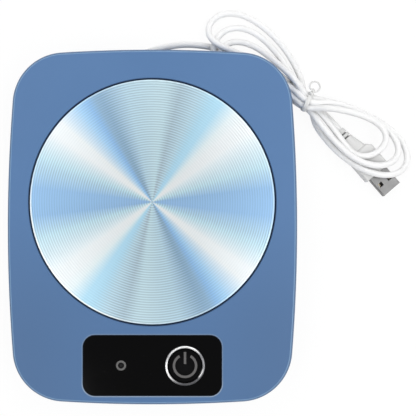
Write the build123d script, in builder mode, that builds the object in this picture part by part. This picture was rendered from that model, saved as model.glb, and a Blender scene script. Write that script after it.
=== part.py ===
"""Electric mug warmer: a flat housing with a round aluminium warming plate, a glass-black control panel
with one push button, and a white USB supply cord that is folded into a tied hank.

Millimetres. +Z is up, +Y points to the rear, where the cord leaves, and the table is Z = 0.
The origin is on the table, under the middle of the housing."""

import os
from math import cos, pi, radians, sin, tan

from build123d import *

os.makedirs("parts", exist_ok=True)

# ---------------------------------------------------------------- driving dimensions
# Housing outline, seen from above
body_width = 160.0  # across the middle of the long sides
body_length = 196.0  # across the middle of the short sides
side_arc_radius = 890.0  # each long side is a very large arc
end_arc_radius = 800.0  # and each short side too
corner_radius = 29.0

# Housing heights above the table, walls and edges
body_height = 20.5
parting_height = 8.0
cover_top = 2.5
cover_wall = 2.2
cover_draft = 1.0  # degrees
top_edge_radius = 1.6
rim_edge_radius = 1.0
case_gap = 0.15  # between the cover's wall and the base's flange
flange_thickness = 2.0
plinth_inset = 13.0
plinth_draft = 6.0  # degrees
plinth_edge_radius = 1.0
base_floor = 2.0
base_wall = 2.0

# Feet
foot_drop = 2.0
foot_diameter = 12.0
foot_socket_depth = 1.0
foot_socket_gap = 0.1
foot_edge = 0.5
foot_inset_x = 36.0  # from the housing's side to the foot's axis
foot_inset_y = 24.0

# Case screws and the posts that they hold
screw_inset_x = 24.0
screw_inset_y = 30.0
screw_shank_diameter = 3.0
screw_head_diameter = 5.6
screw_head_height = 2.0
screw_length = 9.0
screw_hole_gap = 0.15
pilot_end = 1.0  # how far a pilot hole runs past its screw
thread_gap = 0.03
base_boss_diameter = 9.4
base_boss_height = 5.0  # above the plinth's underside
head_well_depth = 3.0
cover_post_diameter = 8.0
post_web_thickness = 1.4
post_web_length = 16.0
post_web_height = 5.0
driver_slot_width = 0.8
driver_slot_depth = 1.0

# Ribs inside the housing
wall_rib_thickness = 1.4
wall_rib_depth = 2.4
wall_rib_pitch = 26.0
side_rib_count = 5
end_rib_count = 3
floor_rib_thickness = 1.2
floor_rib_height = 1.5
floor_rib_x = 22.0
floor_rib_y = 46.0
floor_rib_reach = 30.0

# Vent slots in the plinth's floor
vent_count = 6
vent_pitch = 6.0
vent_width = 2.0
vent_length = 26.0
vent_offset_x = 40.0
vent_offset_y = 12.0

# Warming plate and its seat
plate_diameter = 134.6
plate_thickness = 1.7
plate_stand = 0.5  # above the housing's top face
plate_edge_radius = 0.4
plate_gap = 0.85  # round the plate
plate_panel_gap = 4.9
ledge_width = 6.0
ledge_thickness = 2.6
ledge_ring_wall = 2.0
seal_thickness = 1.2
seal_gap = 0.1
seal_lip_thickness = 0.6
seal_lip_height = 0.6
stud_count = 4
stud_diameter = 4.0
stud_circle_radius = 42.0
stud_end = 1.0  # past the nut
stud_gap = 0.25

# Heater stack under the plate
heater_thickness = 0.8
heater_edge_gap = 3.0
insulation_edge_gap = 0.5
shield_thickness = 0.8
shield_rim = 4.5  # how far the shield reaches under the ledge
shield_bead_radius = 57.0
shield_bead_width = 4.0
shield_bead_depth = 0.8
nut_across_flats = 7.0
nut_height = 2.4
sensor_diameter = 5.0
sensor_gap = 0.2
fuse_diameter = 4.0
fuse_length = 11.0
fuse_lead_diameter = 0.9
fuse_lead_length = 4.0
fuse_offset_x = 24.0
fuse_offset_y = 22.0
fuse_clip_width = 4.0
fuse_clip_thickness = 0.5
fuse_clip_foot = 4.0
fuse_clip_gap = 0.12

# Control panel
panel_width = 76.6
panel_length = 33.6
panel_corner_radius = 6.7
panel_thickness = 1.2
panel_gap = 0.1
panel_front_margin = 5.1
panel_chamfer = 0.25

# Power button
button_x = 18.0
bezel_diameter = 22.0
bezel_band = 1.6
bezel_stand = 1.1
bezel_edge_radius = 0.7
bezel_flange_diameter = 26.0
bezel_flange_thickness = 1.0
bezel_gap = 0.1
button_gap = 0.2
button_stand = 0.7
button_bevel = 0.4
button_wall = 1.3
button_rib_thickness = 1.0
button_flange_width = 1.3
button_flange_thickness = 0.8
button_flange_gap = 0.1
button_stem_diameter = 4.0
button_stem_length = 2.7
button_travel = 0.8
icon_diameter = 13.8
icon_stroke = 1.5
icon_opening = 44.0  # degrees left open at the top of the arc
icon_bar_length = 7.2
icon_bar_low = -0.8  # where the bar starts, from the middle
icon_depth = 0.25

# Switch under the button
switch_size = 6.0
switch_height = 3.8
plunger_diameter = 3.4
plunger_stand = 1.2
plunger_depth = 0.8  # inside the switch
plunger_gap = 0.15
plunger_end_gap = 0.2

# Indicator
indicator_x = -17.2
indicator_ring_diameter = 5.5
indicator_ring_depth = 0.25
light_pipe_diameter = 3.3
light_pipe_gap = 0.05
light_pipe_collar_diameter = 6.0
light_pipe_collar_thickness = 1.0
led_size = 3.0
led_height = 1.4
led_gap = 0.2

# Control board, its screws and its parts
board_width = 78.0
board_length = 26.0
board_thickness = 1.6
board_front_gap = 1.8
board_post_diameter = 5.6
board_post_inset = 3.5
board_screw_diameter = 2.2
board_screw_length = 6.0
board_screw_head_diameter = 4.2
board_screw_head_height = 1.4
controller_width = 9.9
controller_length = 6.0
controller_height = 1.6
controller_x = 1.0
controller_y = 4.0
transistor_width = 6.6
transistor_length = 6.1
transistor_height = 2.3
transistor_inset_x = 13.0  # from the board's end to its middle
transistor_y = 2.0
capacitor_diameter = 6.3
capacitor_height = 5.8
capacitor_base = 6.8
capacitor_base_height = 0.8
capacitor_inset_x = 12.0  # from the board's other end to its middle
capacitor_y = -1.0
chip_count = 6
chip_pitch = 3.0
chip_width = 1.2
chip_length = 2.0
chip_height = 0.6
chip_x = -11.0
chip_y = -3.0
connector_width = 7.0
connector_length = 5.0
connector_height = 4.4
connector_edge_gap = 0.6
supply_connector_x = -16.0
sensor_x = 0.0  # of the sensor, its wires and their connector
heater_connector_x = 10.0

# Wires inside
wire_diameter = 1.3
wire_pitch = 1.7
wire_bend_radius = 2.0
wire_rise_start = 11.0  # how far behind its connector a wire leaves the floor or the shield
wire_rise_end = 5.0
wire_rest_gap = 0.1
heater_wire_setback = 50.0  # from the plate's axis to the hole for the heater's wires

# Cord, its exit and the clamp
cord_diameter = 3.6
exit_x = -16.0
exit_height = 5.0
bush_wall = 0.8
bush_nub_length = 2.0
bush_nub_taper = 0.5
bush_key_width = 8.0
bush_key_bottom = 3.0  # above the table
bush_key_top = 7.6
bush_key_thickness = 1.6
bush_gap = 0.1
cord_seat_gap = 0.05
inner_cord_length = 20.0  # inside the plinth's wall
clamp_inset = 9.0  # from the plinth's inner wall to the clamp's middle
clamp_length = 6.0
clamp_thickness = 1.8
clamp_reach = 7.5  # from the cord's axis to each clamp screw
clamp_screw_diameter = 2.4
clamp_screw_length = 5.0
clamp_screw_head_diameter = 4.4
clamp_screw_head_height = 1.5
clamp_post_diameter = 5.4

arc_share = 0.45  # how much of the shorter of its two runs an arc takes up

# Route of the free cord to the hank, after its exit: X, Y and Z of each corner
lead_corners = [
    (-16.0, 90.4, 5.0),
    (-14.4, 94.9, 4.2),
    (-10.8, 98.1, 3.0),
    (-3.6, 100.6, 2.2),
    (6.0, 103.2, 1.8),
    (18.0, 105.1, 1.8),
    (34.0, 103.2, 1.8),
]

# The end of the cord runs from inside the hank to the plug, straight for the last stretch
tail_start = (96.5, 65.3, 3.0)
tail_straight = 6.0

# The tie that holds the hank, and the hank's two lobes on either side of it
tie_x = 87.0
tie_y = 71.0
tie_angle = -25.0  # degrees, the way that the strands run through it
tie_band_width = 2.3
tie_wire = 1.1
tie_gap = 0.15
tie_corner = 3.0
tie_loop_diameter = 6.8
tie_loop_back = 0.2  # from the band to the loop's middle, along the strands
tie_loop_out = 3.2  # from the strands' side to the loop's middle
bundle_width = 9.9
bundle_height = 10.8
bundle_length = 14.0
left_lobe = {"angle": 132.6, "reach": 73.0, "half_width": 13.2, "fullness": 0.7, "bend": 6.6}
left_hollow = {"angle": 113.0, "reach": 47.9, "half_width": 3.3, "fullness": 4.3, "bend": 27.8}
left_lobe_height = 7.4
right_lobe = {"angle": -35.0, "reach": 69.2, "half_width": 13.6, "fullness": 0.8, "bend": 2.0}
right_hollow = {"angle": -32.0, "reach": 47.4, "half_width": 11.3, "fullness": 3.6, "bend": 0.0}
right_lobe_height = 11.9
lobe_points = 14

# USB plug
plug_tip_x = 135.5
plug_tip_y = 21.1
plug_angle = -49.0  # degrees, the way that its mouth points
shell_width = 12.0
shell_height = 4.5
shell_wall = 0.3
shell_corner_radius = 0.5
shell_length = 12.5
shell_anchor = 3.0  # inside the overmould
shell_window = 2.5
shell_window_pitch = 6.0
shell_window_setback = 6.2
tongue_thickness = 1.9
tongue_width = 11.2
tongue_setback = 0.6
contact_count = 4
contact_width = 1.1
contact_pitch = 2.4
contact_thickness = 0.2
contact_setback = 1.2
overmould_width = 16.0
overmould_height = 8.0
overmould_length = 17.0
overmould_edge_radius = 1.2
shoulder_chamfer = 2.4
neck_width = 10.8
neck_height = 6.6
neck_edge_radius = 2.4
neck_length = 9.5
neck_end_diameter = 6.4
relief_length = 6.0
relief_end_diameter = 4.8
relief_groove_width = 0.8
relief_groove_depth = 0.5
relief_groove_pitch = 2.5
relief_groove_count = 2
plug_clearance = 0.3

# ---------------------------------------------------------------- derived places
plinth_bottom = foot_drop
floor_top = plinth_bottom + base_floor
flange_top = parting_height + flange_thickness
cover_underside = body_height - cover_top

panel_y = -body_length / 2 + panel_front_margin + panel_length / 2
panel_floor = body_height - panel_thickness
plate_radius = plate_diameter / 2
recess_radius = plate_radius + plate_gap
plate_y = panel_y + panel_length / 2 + plate_panel_gap + recess_radius
plate_top = body_height + plate_stand
plate_bottom = plate_top - plate_thickness
ledge_top = plate_bottom - seal_thickness
ledge_bottom = ledge_top - ledge_thickness
opening_radius = recess_radius - ledge_width
ledge_ring_radius = recess_radius + ledge_ring_wall

heater_bottom = plate_bottom - heater_thickness
shield_top = ledge_bottom
shield_bottom = shield_top - shield_thickness
shield_radius = opening_radius + shield_rim
heater_radius = opening_radius - heater_edge_gap
stud_bottom = shield_bottom - nut_height - stud_end
wire_hole_radius = wire_pitch / 2 + wire_diameter
wire_hole_y = plate_y - heater_wire_setback

button_top = body_height + button_stand
bezel_radius = bezel_diameter / 2
bezel_bore = bezel_radius - bezel_band
bezel_flange_bottom = cover_underside - bezel_flange_thickness
button_radius = bezel_bore - button_gap
button_flange_top = bezel_flange_bottom - button_flange_gap
button_flange_bottom = button_flange_top - button_flange_thickness
stem_bottom = button_flange_bottom - button_stem_length
switch_top = stem_bottom - plunger_stand
board_top = switch_top - switch_height
board_bottom = board_top - board_thickness
board_y = -body_length / 2 + plinth_inset + base_wall + board_front_gap + board_length / 2
board_post_x = board_width / 2 - board_post_inset
board_post_y = board_length / 2 - board_post_inset
transistor_x = board_width / 2 - transistor_inset_x
capacitor_x = capacitor_inset_x - board_width / 2

screw_places = GridLocations(body_width - 2 * screw_inset_x, body_length - 2 * screw_inset_y, 2, 2)
foot_places = GridLocations(body_width - 2 * foot_inset_x, body_length - 2 * foot_inset_y, 2, 2)
boss_top = plinth_bottom + base_boss_height
head_seat = plinth_bottom + head_well_depth

cord_radius = cord_diameter / 2
plinth_slope = tan(radians(plinth_draft))
bush_reach = abs(exit_x) + bush_key_width / 2
exit_bow = end_arc_radius - (end_arc_radius**2 - bush_reach**2) ** 0.5
plinth_rear_y = body_length / 2 - exit_bow - plinth_inset
wall_outer_y = plinth_rear_y - (parting_height - exit_height) * plinth_slope
wall_inner_y = plinth_rear_y - base_wall - (flange_top - floor_top) * plinth_slope
exit_y = wall_outer_y + bush_nub_length
clamp_y = wall_inner_y - clamp_inset
clamp_bottom = exit_height + cord_radius

plug_plane = Plane(
    origin=(plug_tip_x, plug_tip_y, overmould_height / 2),
    x_dir=(cos(radians(plug_angle)), sin(radians(plug_angle)), 0),
    z_dir=(0, 0, 1),
)
tie_plane = Plane(
    origin=(tie_x, tie_y, 0),
    x_dir=(cos(radians(tie_angle)), sin(radians(tie_angle)), 0),
    z_dir=(0, 0, 1),
)


def write(part, label):
    """Label a finished piece and write it to its own file."""
    part.label = label
    export_step(part, f"parts/{label}.step")


def housing_outline(inset):
    """The housing seen from above, drawn in by an inset: the common area of four very large circles, one
    for each bowed side, with its corners rounded."""
    side_centre = side_arc_radius - body_width / 2
    end_centre = end_arc_radius - body_length / 2
    with BuildSketch() as outline:
        with Locations(Location((-side_centre, 0, 0), (0, 0, 180))):
            Circle(side_arc_radius - inset)
        with Locations(Location((side_centre, 0, 0))):
            Circle(side_arc_radius - inset, mode=Mode.INTERSECT)
        with Locations(Location((0, -end_centre, 0), (0, 0, -90))):
            Circle(end_arc_radius - inset, mode=Mode.INTERSECT)
        with Locations(Location((0, end_centre, 0), (0, 0, 90))):
            Circle(end_arc_radius - inset, mode=Mode.INTERSECT)
        fillet(outline.vertices(), corner_radius - inset)
    return outline.sketch


def polar_studs():
    """Places of the plate's studs, from the plate's axis."""
    return PolarLocations(stud_circle_radius, stud_count, start_angle=180 / stud_count)


def cord_path(points):
    """Straight runs joined by tangent arcs, each arc as large as its two runs allow."""
    corners = [Vector(point) for point in points]
    runs = [after - before for before, after in zip(corners, corners[1:])]
    radii = []
    for run, next_run in zip(runs, runs[1:]):
        half_turn = radians(run.get_angle(next_run)) / 2
        shorter = min(run.length, next_run.length)
        radii.append(arc_share * shorter / tan(half_turn))
    print("cord arc radii, mm:", [round(radius, 1) for radius in radii])
    return FilletPolyline(*points, radius=radii)


def lobe_outline(lobe):
    """One lobe of the hank from above: a drop that is pointed at the tie and whose axis bends sideways.
    Along its axis a point lies at reach * sin(t)^2. Across it the point lies at
    1.5 * half_width * sin(2t) * sin(t)^fullness, moved sideways by bend times the square of the way along."""
    axis, across = Vector(1, 0).rotate(Axis.Z, lobe["angle"]), Vector(0, 1).rotate(Axis.Z, lobe["angle"])
    points = []
    for step in range(lobe_points + 1):
        turn = pi * step / lobe_points
        share = sin(turn) ** 2
        width = 1.5 * lobe["half_width"] * sin(2 * turn) * abs(sin(turn)) ** lobe["fullness"]
        sideways = width + lobe["bend"] * share**2
        points.append(Vector(tie_x, tie_y) + axis * lobe["reach"] * share + across * sideways)
    with BuildSketch() as outline:
        with BuildLine():
            Spline(*points)
        make_face()
    return outline.sketch


# ---------------------------------------------------------------- top cover
# The moulded upper shell. The plate drops into a round recess and rests on a ledge below it, the
# panel is set into a pocket at the front, and posts hang from the roof for the board and the base.
with BuildPart() as top_cover:
    with BuildSketch(Plane.XY.offset(parting_height)):
        add(housing_outline(0))
    with BuildSketch(Plane.XY.offset(body_height)):
        add(housing_outline((body_height - parting_height) * tan(radians(cover_draft))))
    loft()
    fillet(top_cover.edges().group_by(Axis.Z)[-1], top_edge_radius)
    fillet(top_cover.edges().group_by(Axis.Z)[0], rim_edge_radius)
    with BuildSketch(Plane.XY.offset(cover_underside)):
        add(housing_outline(cover_wall))
    extrude(amount=parting_height - cover_underside, mode=Mode.SUBTRACT)

    with BuildSketch(Plane.XY.offset(ledge_bottom)):
        with Locations((0, plate_y)):
            Circle(ledge_ring_radius)
    extrude(amount=body_height - top_edge_radius - ledge_bottom)
    with BuildSketch(Plane.XY.offset(ledge_top)):
        with Locations((0, plate_y)):
            Circle(recess_radius)
    extrude(amount=body_height - ledge_top, mode=Mode.SUBTRACT)
    with BuildSketch(Plane.XY.offset(ledge_bottom)):
        with Locations((0, plate_y)):
            Circle(opening_radius)
    extrude(amount=body_height - ledge_bottom, mode=Mode.SUBTRACT)

    with BuildSketch(Plane.XY.offset(body_height)):
        with Locations((0, panel_y)):
            RectangleRounded(
                panel_width + 2 * panel_gap, panel_length + 2 * panel_gap, panel_corner_radius + panel_gap
            )
    extrude(amount=-panel_thickness, mode=Mode.SUBTRACT)
    with BuildSketch(Plane.XY.offset(body_height)):
        with Locations((button_x, panel_y)):
            Circle(bezel_radius + bezel_gap)
        with Locations((indicator_x, panel_y)):
            Circle(light_pipe_diameter / 2 + light_pipe_gap)
    extrude(amount=-cover_top, mode=Mode.SUBTRACT)

    with BuildSketch(Plane.XY.offset(boss_top)):
        with screw_places:
            Circle(cover_post_diameter / 2)
    extrude(amount=cover_underside - boss_top)
    with BuildSketch(Plane.XY.offset(cover_underside)):
        with screw_places:
            Rectangle(post_web_length, post_web_thickness)
            Rectangle(post_web_thickness, post_web_length)
    extrude(amount=-post_web_height)
    with BuildSketch(Plane.XY.offset(boss_top)):
        with screw_places:
            Circle(screw_shank_diameter / 2 + thread_gap)
    extrude(amount=head_seat + screw_length + pilot_end - boss_top, mode=Mode.SUBTRACT)

    with BuildSketch(Plane.XY.offset(board_top)):
        with Locations((0, board_y)):
            with GridLocations(2 * board_post_x, 2 * board_post_y, 2, 2):
                Circle(board_post_diameter / 2)
    extrude(amount=cover_underside - board_top)
    with BuildSketch(Plane.XY.offset(board_top)):
        with Locations((0, board_y)):
            with GridLocations(2 * board_post_x, 2 * board_post_y, 2, 2):
                Circle(board_screw_diameter / 2 + thread_gap)
    extrude(amount=board_screw_length, mode=Mode.SUBTRACT)

    with BuildSketch(Plane.XY.offset(flange_top)):
        with GridLocations(0, wall_rib_pitch, 1, side_rib_count):
            Rectangle(body_width, wall_rib_thickness)
        with GridLocations(wall_rib_pitch, 0, end_rib_count, 1):
            Rectangle(wall_rib_thickness, body_length)
        add(housing_outline(cover_wall / 2), mode=Mode.INTERSECT)
        add(housing_outline(cover_wall + wall_rib_depth), mode=Mode.SUBTRACT)
    extrude(amount=cover_underside - flange_top)
write(top_cover.part, "top_cover")


# ---------------------------------------------------------------- base cover
# The moulded lower tray: a flange that closes the cover's open side, and below it a plinth, set far
# in, that holds the floor, the screw wells, the feet's sockets and the cord's bush and clamp.
with BuildPart() as base_cover:
    with BuildSketch(Plane.XY.offset(parting_height)):
        add(housing_outline(cover_wall + case_gap))
    extrude(amount=flange_thickness)
    with BuildSketch(Plane.XY.offset(plinth_bottom)):
        add(housing_outline(plinth_inset + (parting_height - plinth_bottom) * plinth_slope))
    with BuildSketch(Plane.XY.offset(parting_height)):
        add(housing_outline(plinth_inset))
    loft()
    fillet(base_cover.edges().group_by(Axis.Z)[0], plinth_edge_radius)
    with BuildSketch(Plane.XY.offset(floor_top)):
        add(housing_outline(plinth_inset + base_wall + (flange_top - floor_top) * plinth_slope))
    with BuildSketch(Plane.XY.offset(flange_top)):
        add(housing_outline(plinth_inset + base_wall))
    loft(mode=Mode.SUBTRACT)

    with BuildSketch(Plane.XY.offset(plinth_bottom)):
        with foot_places:
            Circle(foot_diameter / 2 + foot_socket_gap)
    extrude(amount=foot_socket_depth, mode=Mode.SUBTRACT)

    with BuildSketch(Plane.XY.offset(floor_top)):
        with screw_places:
            Circle(base_boss_diameter / 2)
    extrude(amount=boss_top - floor_top)
    with BuildSketch(Plane.XY.offset(plinth_bottom)):
        with screw_places:
            Circle(screw_head_diameter / 2 + screw_hole_gap)
    extrude(amount=head_well_depth, mode=Mode.SUBTRACT)
    with BuildSketch(Plane.XY.offset(head_seat)):
        with screw_places:
            Circle(screw_shank_diameter / 2 + screw_hole_gap)
    extrude(amount=base_boss_height, mode=Mode.SUBTRACT)

    with BuildSketch(Plane.XY.offset(plinth_bottom)):
        with Locations((0, vent_offset_y)):
            with GridLocations(2 * vent_offset_x, vent_pitch, 2, vent_count):
                SlotOverall(vent_length, vent_width)
    extrude(amount=base_floor, mode=Mode.SUBTRACT)

    with BuildSketch(Plane.XY.offset(floor_top)):
        with GridLocations(2 * floor_rib_x, 0, 2, 1):
            Rectangle(floor_rib_thickness, 2 * floor_rib_y)
        with GridLocations(2 * floor_rib_x + floor_rib_reach, 2 * floor_rib_y, 2, 2):
            Rectangle(floor_rib_reach, floor_rib_thickness)
    extrude(amount=floor_rib_height)

    # The board's screw heads stay clear of the floor, with wells in it where the housing is low.
    with BuildSketch(Plane.XY.offset(board_bottom - board_screw_head_height - screw_hole_gap)):
        with Locations((0, board_y)):
            with GridLocations(2 * board_post_x, 2 * board_post_y, 2, 2):
                Circle(board_screw_head_diameter / 2 + screw_hole_gap)
    extrude(amount=board_screw_head_height, mode=Mode.SUBTRACT)

    with BuildSketch(Plane.XY.offset(floor_top)):
        with Locations((exit_x - clamp_reach, clamp_y), (exit_x + clamp_reach, clamp_y)):
            Circle(clamp_post_diameter / 2)
    extrude(amount=clamp_bottom - floor_top)
    with BuildSketch(Plane.XY.offset(clamp_bottom)):
        with Locations((exit_x - clamp_reach, clamp_y), (exit_x + clamp_reach, clamp_y)):
            Circle(clamp_screw_diameter / 2 + thread_gap)
    extrude(amount=clamp_thickness - clamp_screw_length, mode=Mode.SUBTRACT)

    with BuildSketch(Plane.XZ.offset(-exit_y)):
        with Locations((exit_x, exit_height)):
            Circle(cord_radius + bush_wall + bush_gap)
    extrude(amount=exit_y - wall_inner_y, mode=Mode.SUBTRACT)
    with BuildSketch(Plane.XZ.offset(-wall_inner_y)):
        with Locations((exit_x, exit_height)):
            Circle(cord_radius + cord_seat_gap)
    extrude(amount=inner_cord_length, mode=Mode.SUBTRACT)
    with BuildSketch(Plane.XY.offset(bush_key_bottom)):
        with Locations((exit_x, wall_inner_y - bush_key_thickness / 2)):
            Rectangle(bush_key_width + 2 * bush_gap, bush_key_thickness + 2 * bush_gap)
    extrude(amount=floor_top - bush_key_bottom, mode=Mode.SUBTRACT)
write(base_cover.part, "base_cover")


# ---------------------------------------------------------------- feet and case screws
# Rubber pads pressed into sockets under the plinth.
with BuildPart() as rubber_feet:
    with BuildSketch():
        with foot_places:
            Circle(foot_diameter / 2)
    extrude(amount=foot_drop + foot_socket_depth)
    chamfer(rubber_feet.edges().group_by(Axis.Z)[0], foot_edge)
write(rubber_feet.part, "rubber_feet")

# Pan-head screws that come up through the base's wells into the cover's posts.
with BuildPart() as case_screws:
    with BuildSketch(Plane.XY.offset(head_seat - screw_head_height)):
        with screw_places:
            Circle(screw_head_diameter / 2)
    extrude(amount=screw_head_height)
    with BuildSketch(Plane.XY.offset(head_seat)):
        with screw_places:
            Circle(screw_shank_diameter / 2)
    extrude(amount=screw_length)
    with BuildSketch(Plane.XY.offset(head_seat - screw_head_height)):
        with screw_places:
            Rectangle(screw_shank_diameter, driver_slot_width)
            Rectangle(driver_slot_width, screw_shank_diameter)
    extrude(amount=driver_slot_depth, mode=Mode.SUBTRACT)
write(case_screws.part, "case_screws")

# ---------------------------------------------------------------- warming plate and seal
# A turned aluminium disc with four studs underneath that draw it down on its seal.
with BuildPart() as heating_plate:
    with BuildSketch(Plane.XY.offset(plate_bottom)):
        with Locations((0, plate_y)):
            Circle(plate_radius)
    extrude(amount=plate_thickness)
    fillet(heating_plate.edges().group_by(Axis.Z)[-1], plate_edge_radius)
    with BuildSketch(Plane.XY.offset(stud_bottom)):
        with Locations((0, plate_y)):
            with polar_studs():
                Circle(stud_diameter / 2)
    extrude(amount=plate_bottom - stud_bottom)
write(heating_plate.part, "heating_plate")

# A silicone ring on the ledge, with a thin lip that stands in the gap round the plate.
with BuildPart() as plate_seal:
    with BuildSketch(Plane.XY.offset(ledge_top)):
        with Locations((0, plate_y)):
            Circle(recess_radius - seal_gap)
            Circle(opening_radius + seal_gap, mode=Mode.SUBTRACT)
    extrude(amount=seal_thickness)
    with BuildSketch(Plane.XY.offset(plate_bottom)):
        with Locations((0, plate_y)):
            Circle(plate_radius + seal_gap + seal_lip_thickness)
            Circle(plate_radius + seal_gap, mode=Mode.SUBTRACT)
    extrude(amount=seal_lip_height)
write(plate_seal.part, "plate_seal")

# ---------------------------------------------------------------- heater stack
# The etched-foil heater against the plate's underside.
with BuildPart() as heater_film:
    with BuildSketch(Plane.XY.offset(heater_bottom)):
        with Locations((0, plate_y)):
            Circle(heater_radius)
            with polar_studs():
                Circle(stud_diameter / 2 + stud_gap, mode=Mode.SUBTRACT)
    extrude(amount=heater_thickness)
write(heater_film.part, "heater_film")

# The felt pad that keeps the heat in the plate, cut out for the studs, the sensor and the wires.
with BuildPart() as insulation_pad:
    with BuildSketch(Plane.XY.offset(shield_top)):
        with Locations((0, plate_y)):
            Circle(opening_radius - insulation_edge_gap)
            with polar_studs():
                Circle(stud_diameter / 2 + stud_gap, mode=Mode.SUBTRACT)
        with Locations((sensor_x, plate_y)):
            Circle(sensor_diameter / 2 + sensor_gap, mode=Mode.SUBTRACT)
        with Locations((heater_connector_x, wire_hole_y)):
            Circle(wire_hole_radius, mode=Mode.SUBTRACT)
    extrude(amount=heater_bottom - shield_top)
write(insulation_pad.part, "insulation_pad")

# The pressed steel disc that the studs pull up against the underside of the ledge.
with BuildPart() as heat_shield:
    with BuildSketch(Plane.XY.offset(shield_bottom)):
        with Locations((0, plate_y)):
            Circle(shield_radius)
    extrude(amount=shield_thickness)
    with BuildSketch(Plane.XY.offset(shield_bottom)):
        with Locations((0, plate_y)):
            Circle(shield_bead_radius + shield_bead_width / 2)
            Circle(shield_bead_radius - shield_bead_width / 2, mode=Mode.SUBTRACT)
    extrude(amount=-shield_bead_depth)
    with BuildSketch(Plane.XY.offset(shield_top)):
        with Locations((0, plate_y)):
            Circle(shield_bead_radius + shield_bead_width / 2 - shield_thickness)
            Circle(shield_bead_radius - shield_bead_width / 2 + shield_thickness, mode=Mode.SUBTRACT)
    extrude(amount=-shield_bead_depth, mode=Mode.SUBTRACT)
    with BuildSketch(Plane.XY.offset(shield_bottom)):
        with Locations((0, plate_y)):
            with polar_studs():
                Circle(stud_diameter / 2 + stud_gap)
        with Locations((sensor_x, plate_y), (heater_connector_x, wire_hole_y)):
            Circle(wire_hole_radius)
    extrude(amount=shield_thickness, mode=Mode.SUBTRACT)
write(heat_shield.part, "heat_shield")

with BuildPart() as plate_nuts:
    with BuildSketch(Plane.XY.offset(shield_bottom - nut_height)):
        with Locations((0, plate_y)):
            with polar_studs():
                RegularPolygon(nut_across_flats / 2, 6, major_radius=False)
                Circle(stud_diameter / 2 + thread_gap, mode=Mode.SUBTRACT)
    extrude(amount=nut_height)
write(plate_nuts.part, "plate_nuts")

# The temperature sensor stands in the pad's middle hole, on the shield and against the heater.
with BuildPart() as plate_sensor:
    with BuildSketch(Plane.XY.offset(shield_top)):
        with Locations((sensor_x, plate_y)):
            Circle(sensor_diameter / 2)
    extrude(amount=heater_bottom - shield_top)
write(plate_sensor.part, "plate_sensor")

# The thermal fuse lies against the shield's underside, with its two leads, under a spring clip.
fuse_y = plate_y - fuse_offset_y
fuse_z = shield_bottom - fuse_diameter / 2
with BuildPart() as thermal_fuse:
    with BuildSketch(Plane.YZ.offset(fuse_offset_x - fuse_length / 2)):
        with Locations((fuse_y, fuse_z)):
            Circle(fuse_diameter / 2)
    extrude(amount=fuse_length)
    with BuildSketch(Plane.YZ.offset(fuse_offset_x - fuse_length / 2 - fuse_lead_length)):
        with Locations((fuse_y, fuse_z)):
            Circle(fuse_lead_diameter / 2)
    extrude(amount=fuse_length + 2 * fuse_lead_length)
write(thermal_fuse.part, "thermal_fuse")

with BuildPart() as fuse_clip:
    clip_bore = fuse_diameter / 2 + fuse_clip_gap
    clip_radius = clip_bore + fuse_clip_thickness
    clip_height = shield_bottom - fuse_z
    with BuildSketch(Plane.YZ.offset(fuse_offset_x - fuse_clip_width / 2)):
        with Locations((fuse_y, fuse_z)):
            Circle(clip_radius)
            Rectangle(2 * clip_radius, clip_height, align=(Align.CENTER, Align.MIN))
        with Locations((fuse_y, shield_bottom)):
            Rectangle(
                2 * (clip_radius + fuse_clip_foot), fuse_clip_thickness, align=(Align.CENTER, Align.MAX)
            )
            Rectangle(2 * clip_radius, clip_radius, align=(Align.CENTER, Align.MIN), mode=Mode.SUBTRACT)
        with Locations((fuse_y, fuse_z)):
            Circle(clip_bore, mode=Mode.SUBTRACT)
            Rectangle(2 * clip_bore, clip_height, align=(Align.CENTER, Align.MIN), mode=Mode.SUBTRACT)
    extrude(amount=fuse_clip_width)
write(fuse_clip.part, "fuse_clip")

# ---------------------------------------------------------------- control panel
# A glossy black plate in the cover's pocket, with a hole for the button and one for the light.
with BuildPart() as control_panel:
    with BuildSketch(Plane.XY.offset(panel_floor)):
        with Locations((0, panel_y)):
            RectangleRounded(panel_width, panel_length, panel_corner_radius)
    extrude(amount=panel_thickness)
    chamfer(control_panel.edges().group_by(Axis.Z)[-1], panel_chamfer)
    with BuildSketch(Plane.XY.offset(panel_floor)):
        with Locations((button_x, panel_y)):
            Circle(bezel_radius + bezel_gap)
        with Locations((indicator_x, panel_y)):
            Circle(light_pipe_diameter / 2 + light_pipe_gap)
    extrude(amount=panel_thickness, mode=Mode.SUBTRACT)
    with BuildSketch(Plane.XY.offset(body_height)):
        with Locations((indicator_x, panel_y)):
            Circle(indicator_ring_diameter / 2)
    extrude(amount=-indicator_ring_depth, mode=Mode.SUBTRACT)
write(control_panel.part, "control_panel")

with BuildPart() as indicator_ring:
    with BuildSketch(Plane.XY.offset(body_height)):
        with Locations((indicator_x, panel_y)):
            Circle(indicator_ring_diameter / 2)
            Circle(light_pipe_diameter / 2 + light_pipe_gap, mode=Mode.SUBTRACT)
    extrude(amount=-indicator_ring_depth)
write(indicator_ring.part, "indicator_ring")

# A clear rod that brings the lamp's light to the panel's face, with a collar under the cover.
with BuildPart() as light_pipe:
    with BuildSketch(Plane.XY.offset(board_top + led_height + led_gap)):
        with Locations((indicator_x, panel_y)):
            Circle(light_pipe_diameter / 2)
    extrude(amount=body_height - board_top - led_height - led_gap)
    with BuildSketch(Plane.XY.offset(cover_underside)):
        with Locations((indicator_x, panel_y)):
            Circle(light_pipe_collar_diameter / 2)
    extrude(amount=-light_pipe_collar_thickness)
write(light_pipe.part, "light_pipe")

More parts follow.
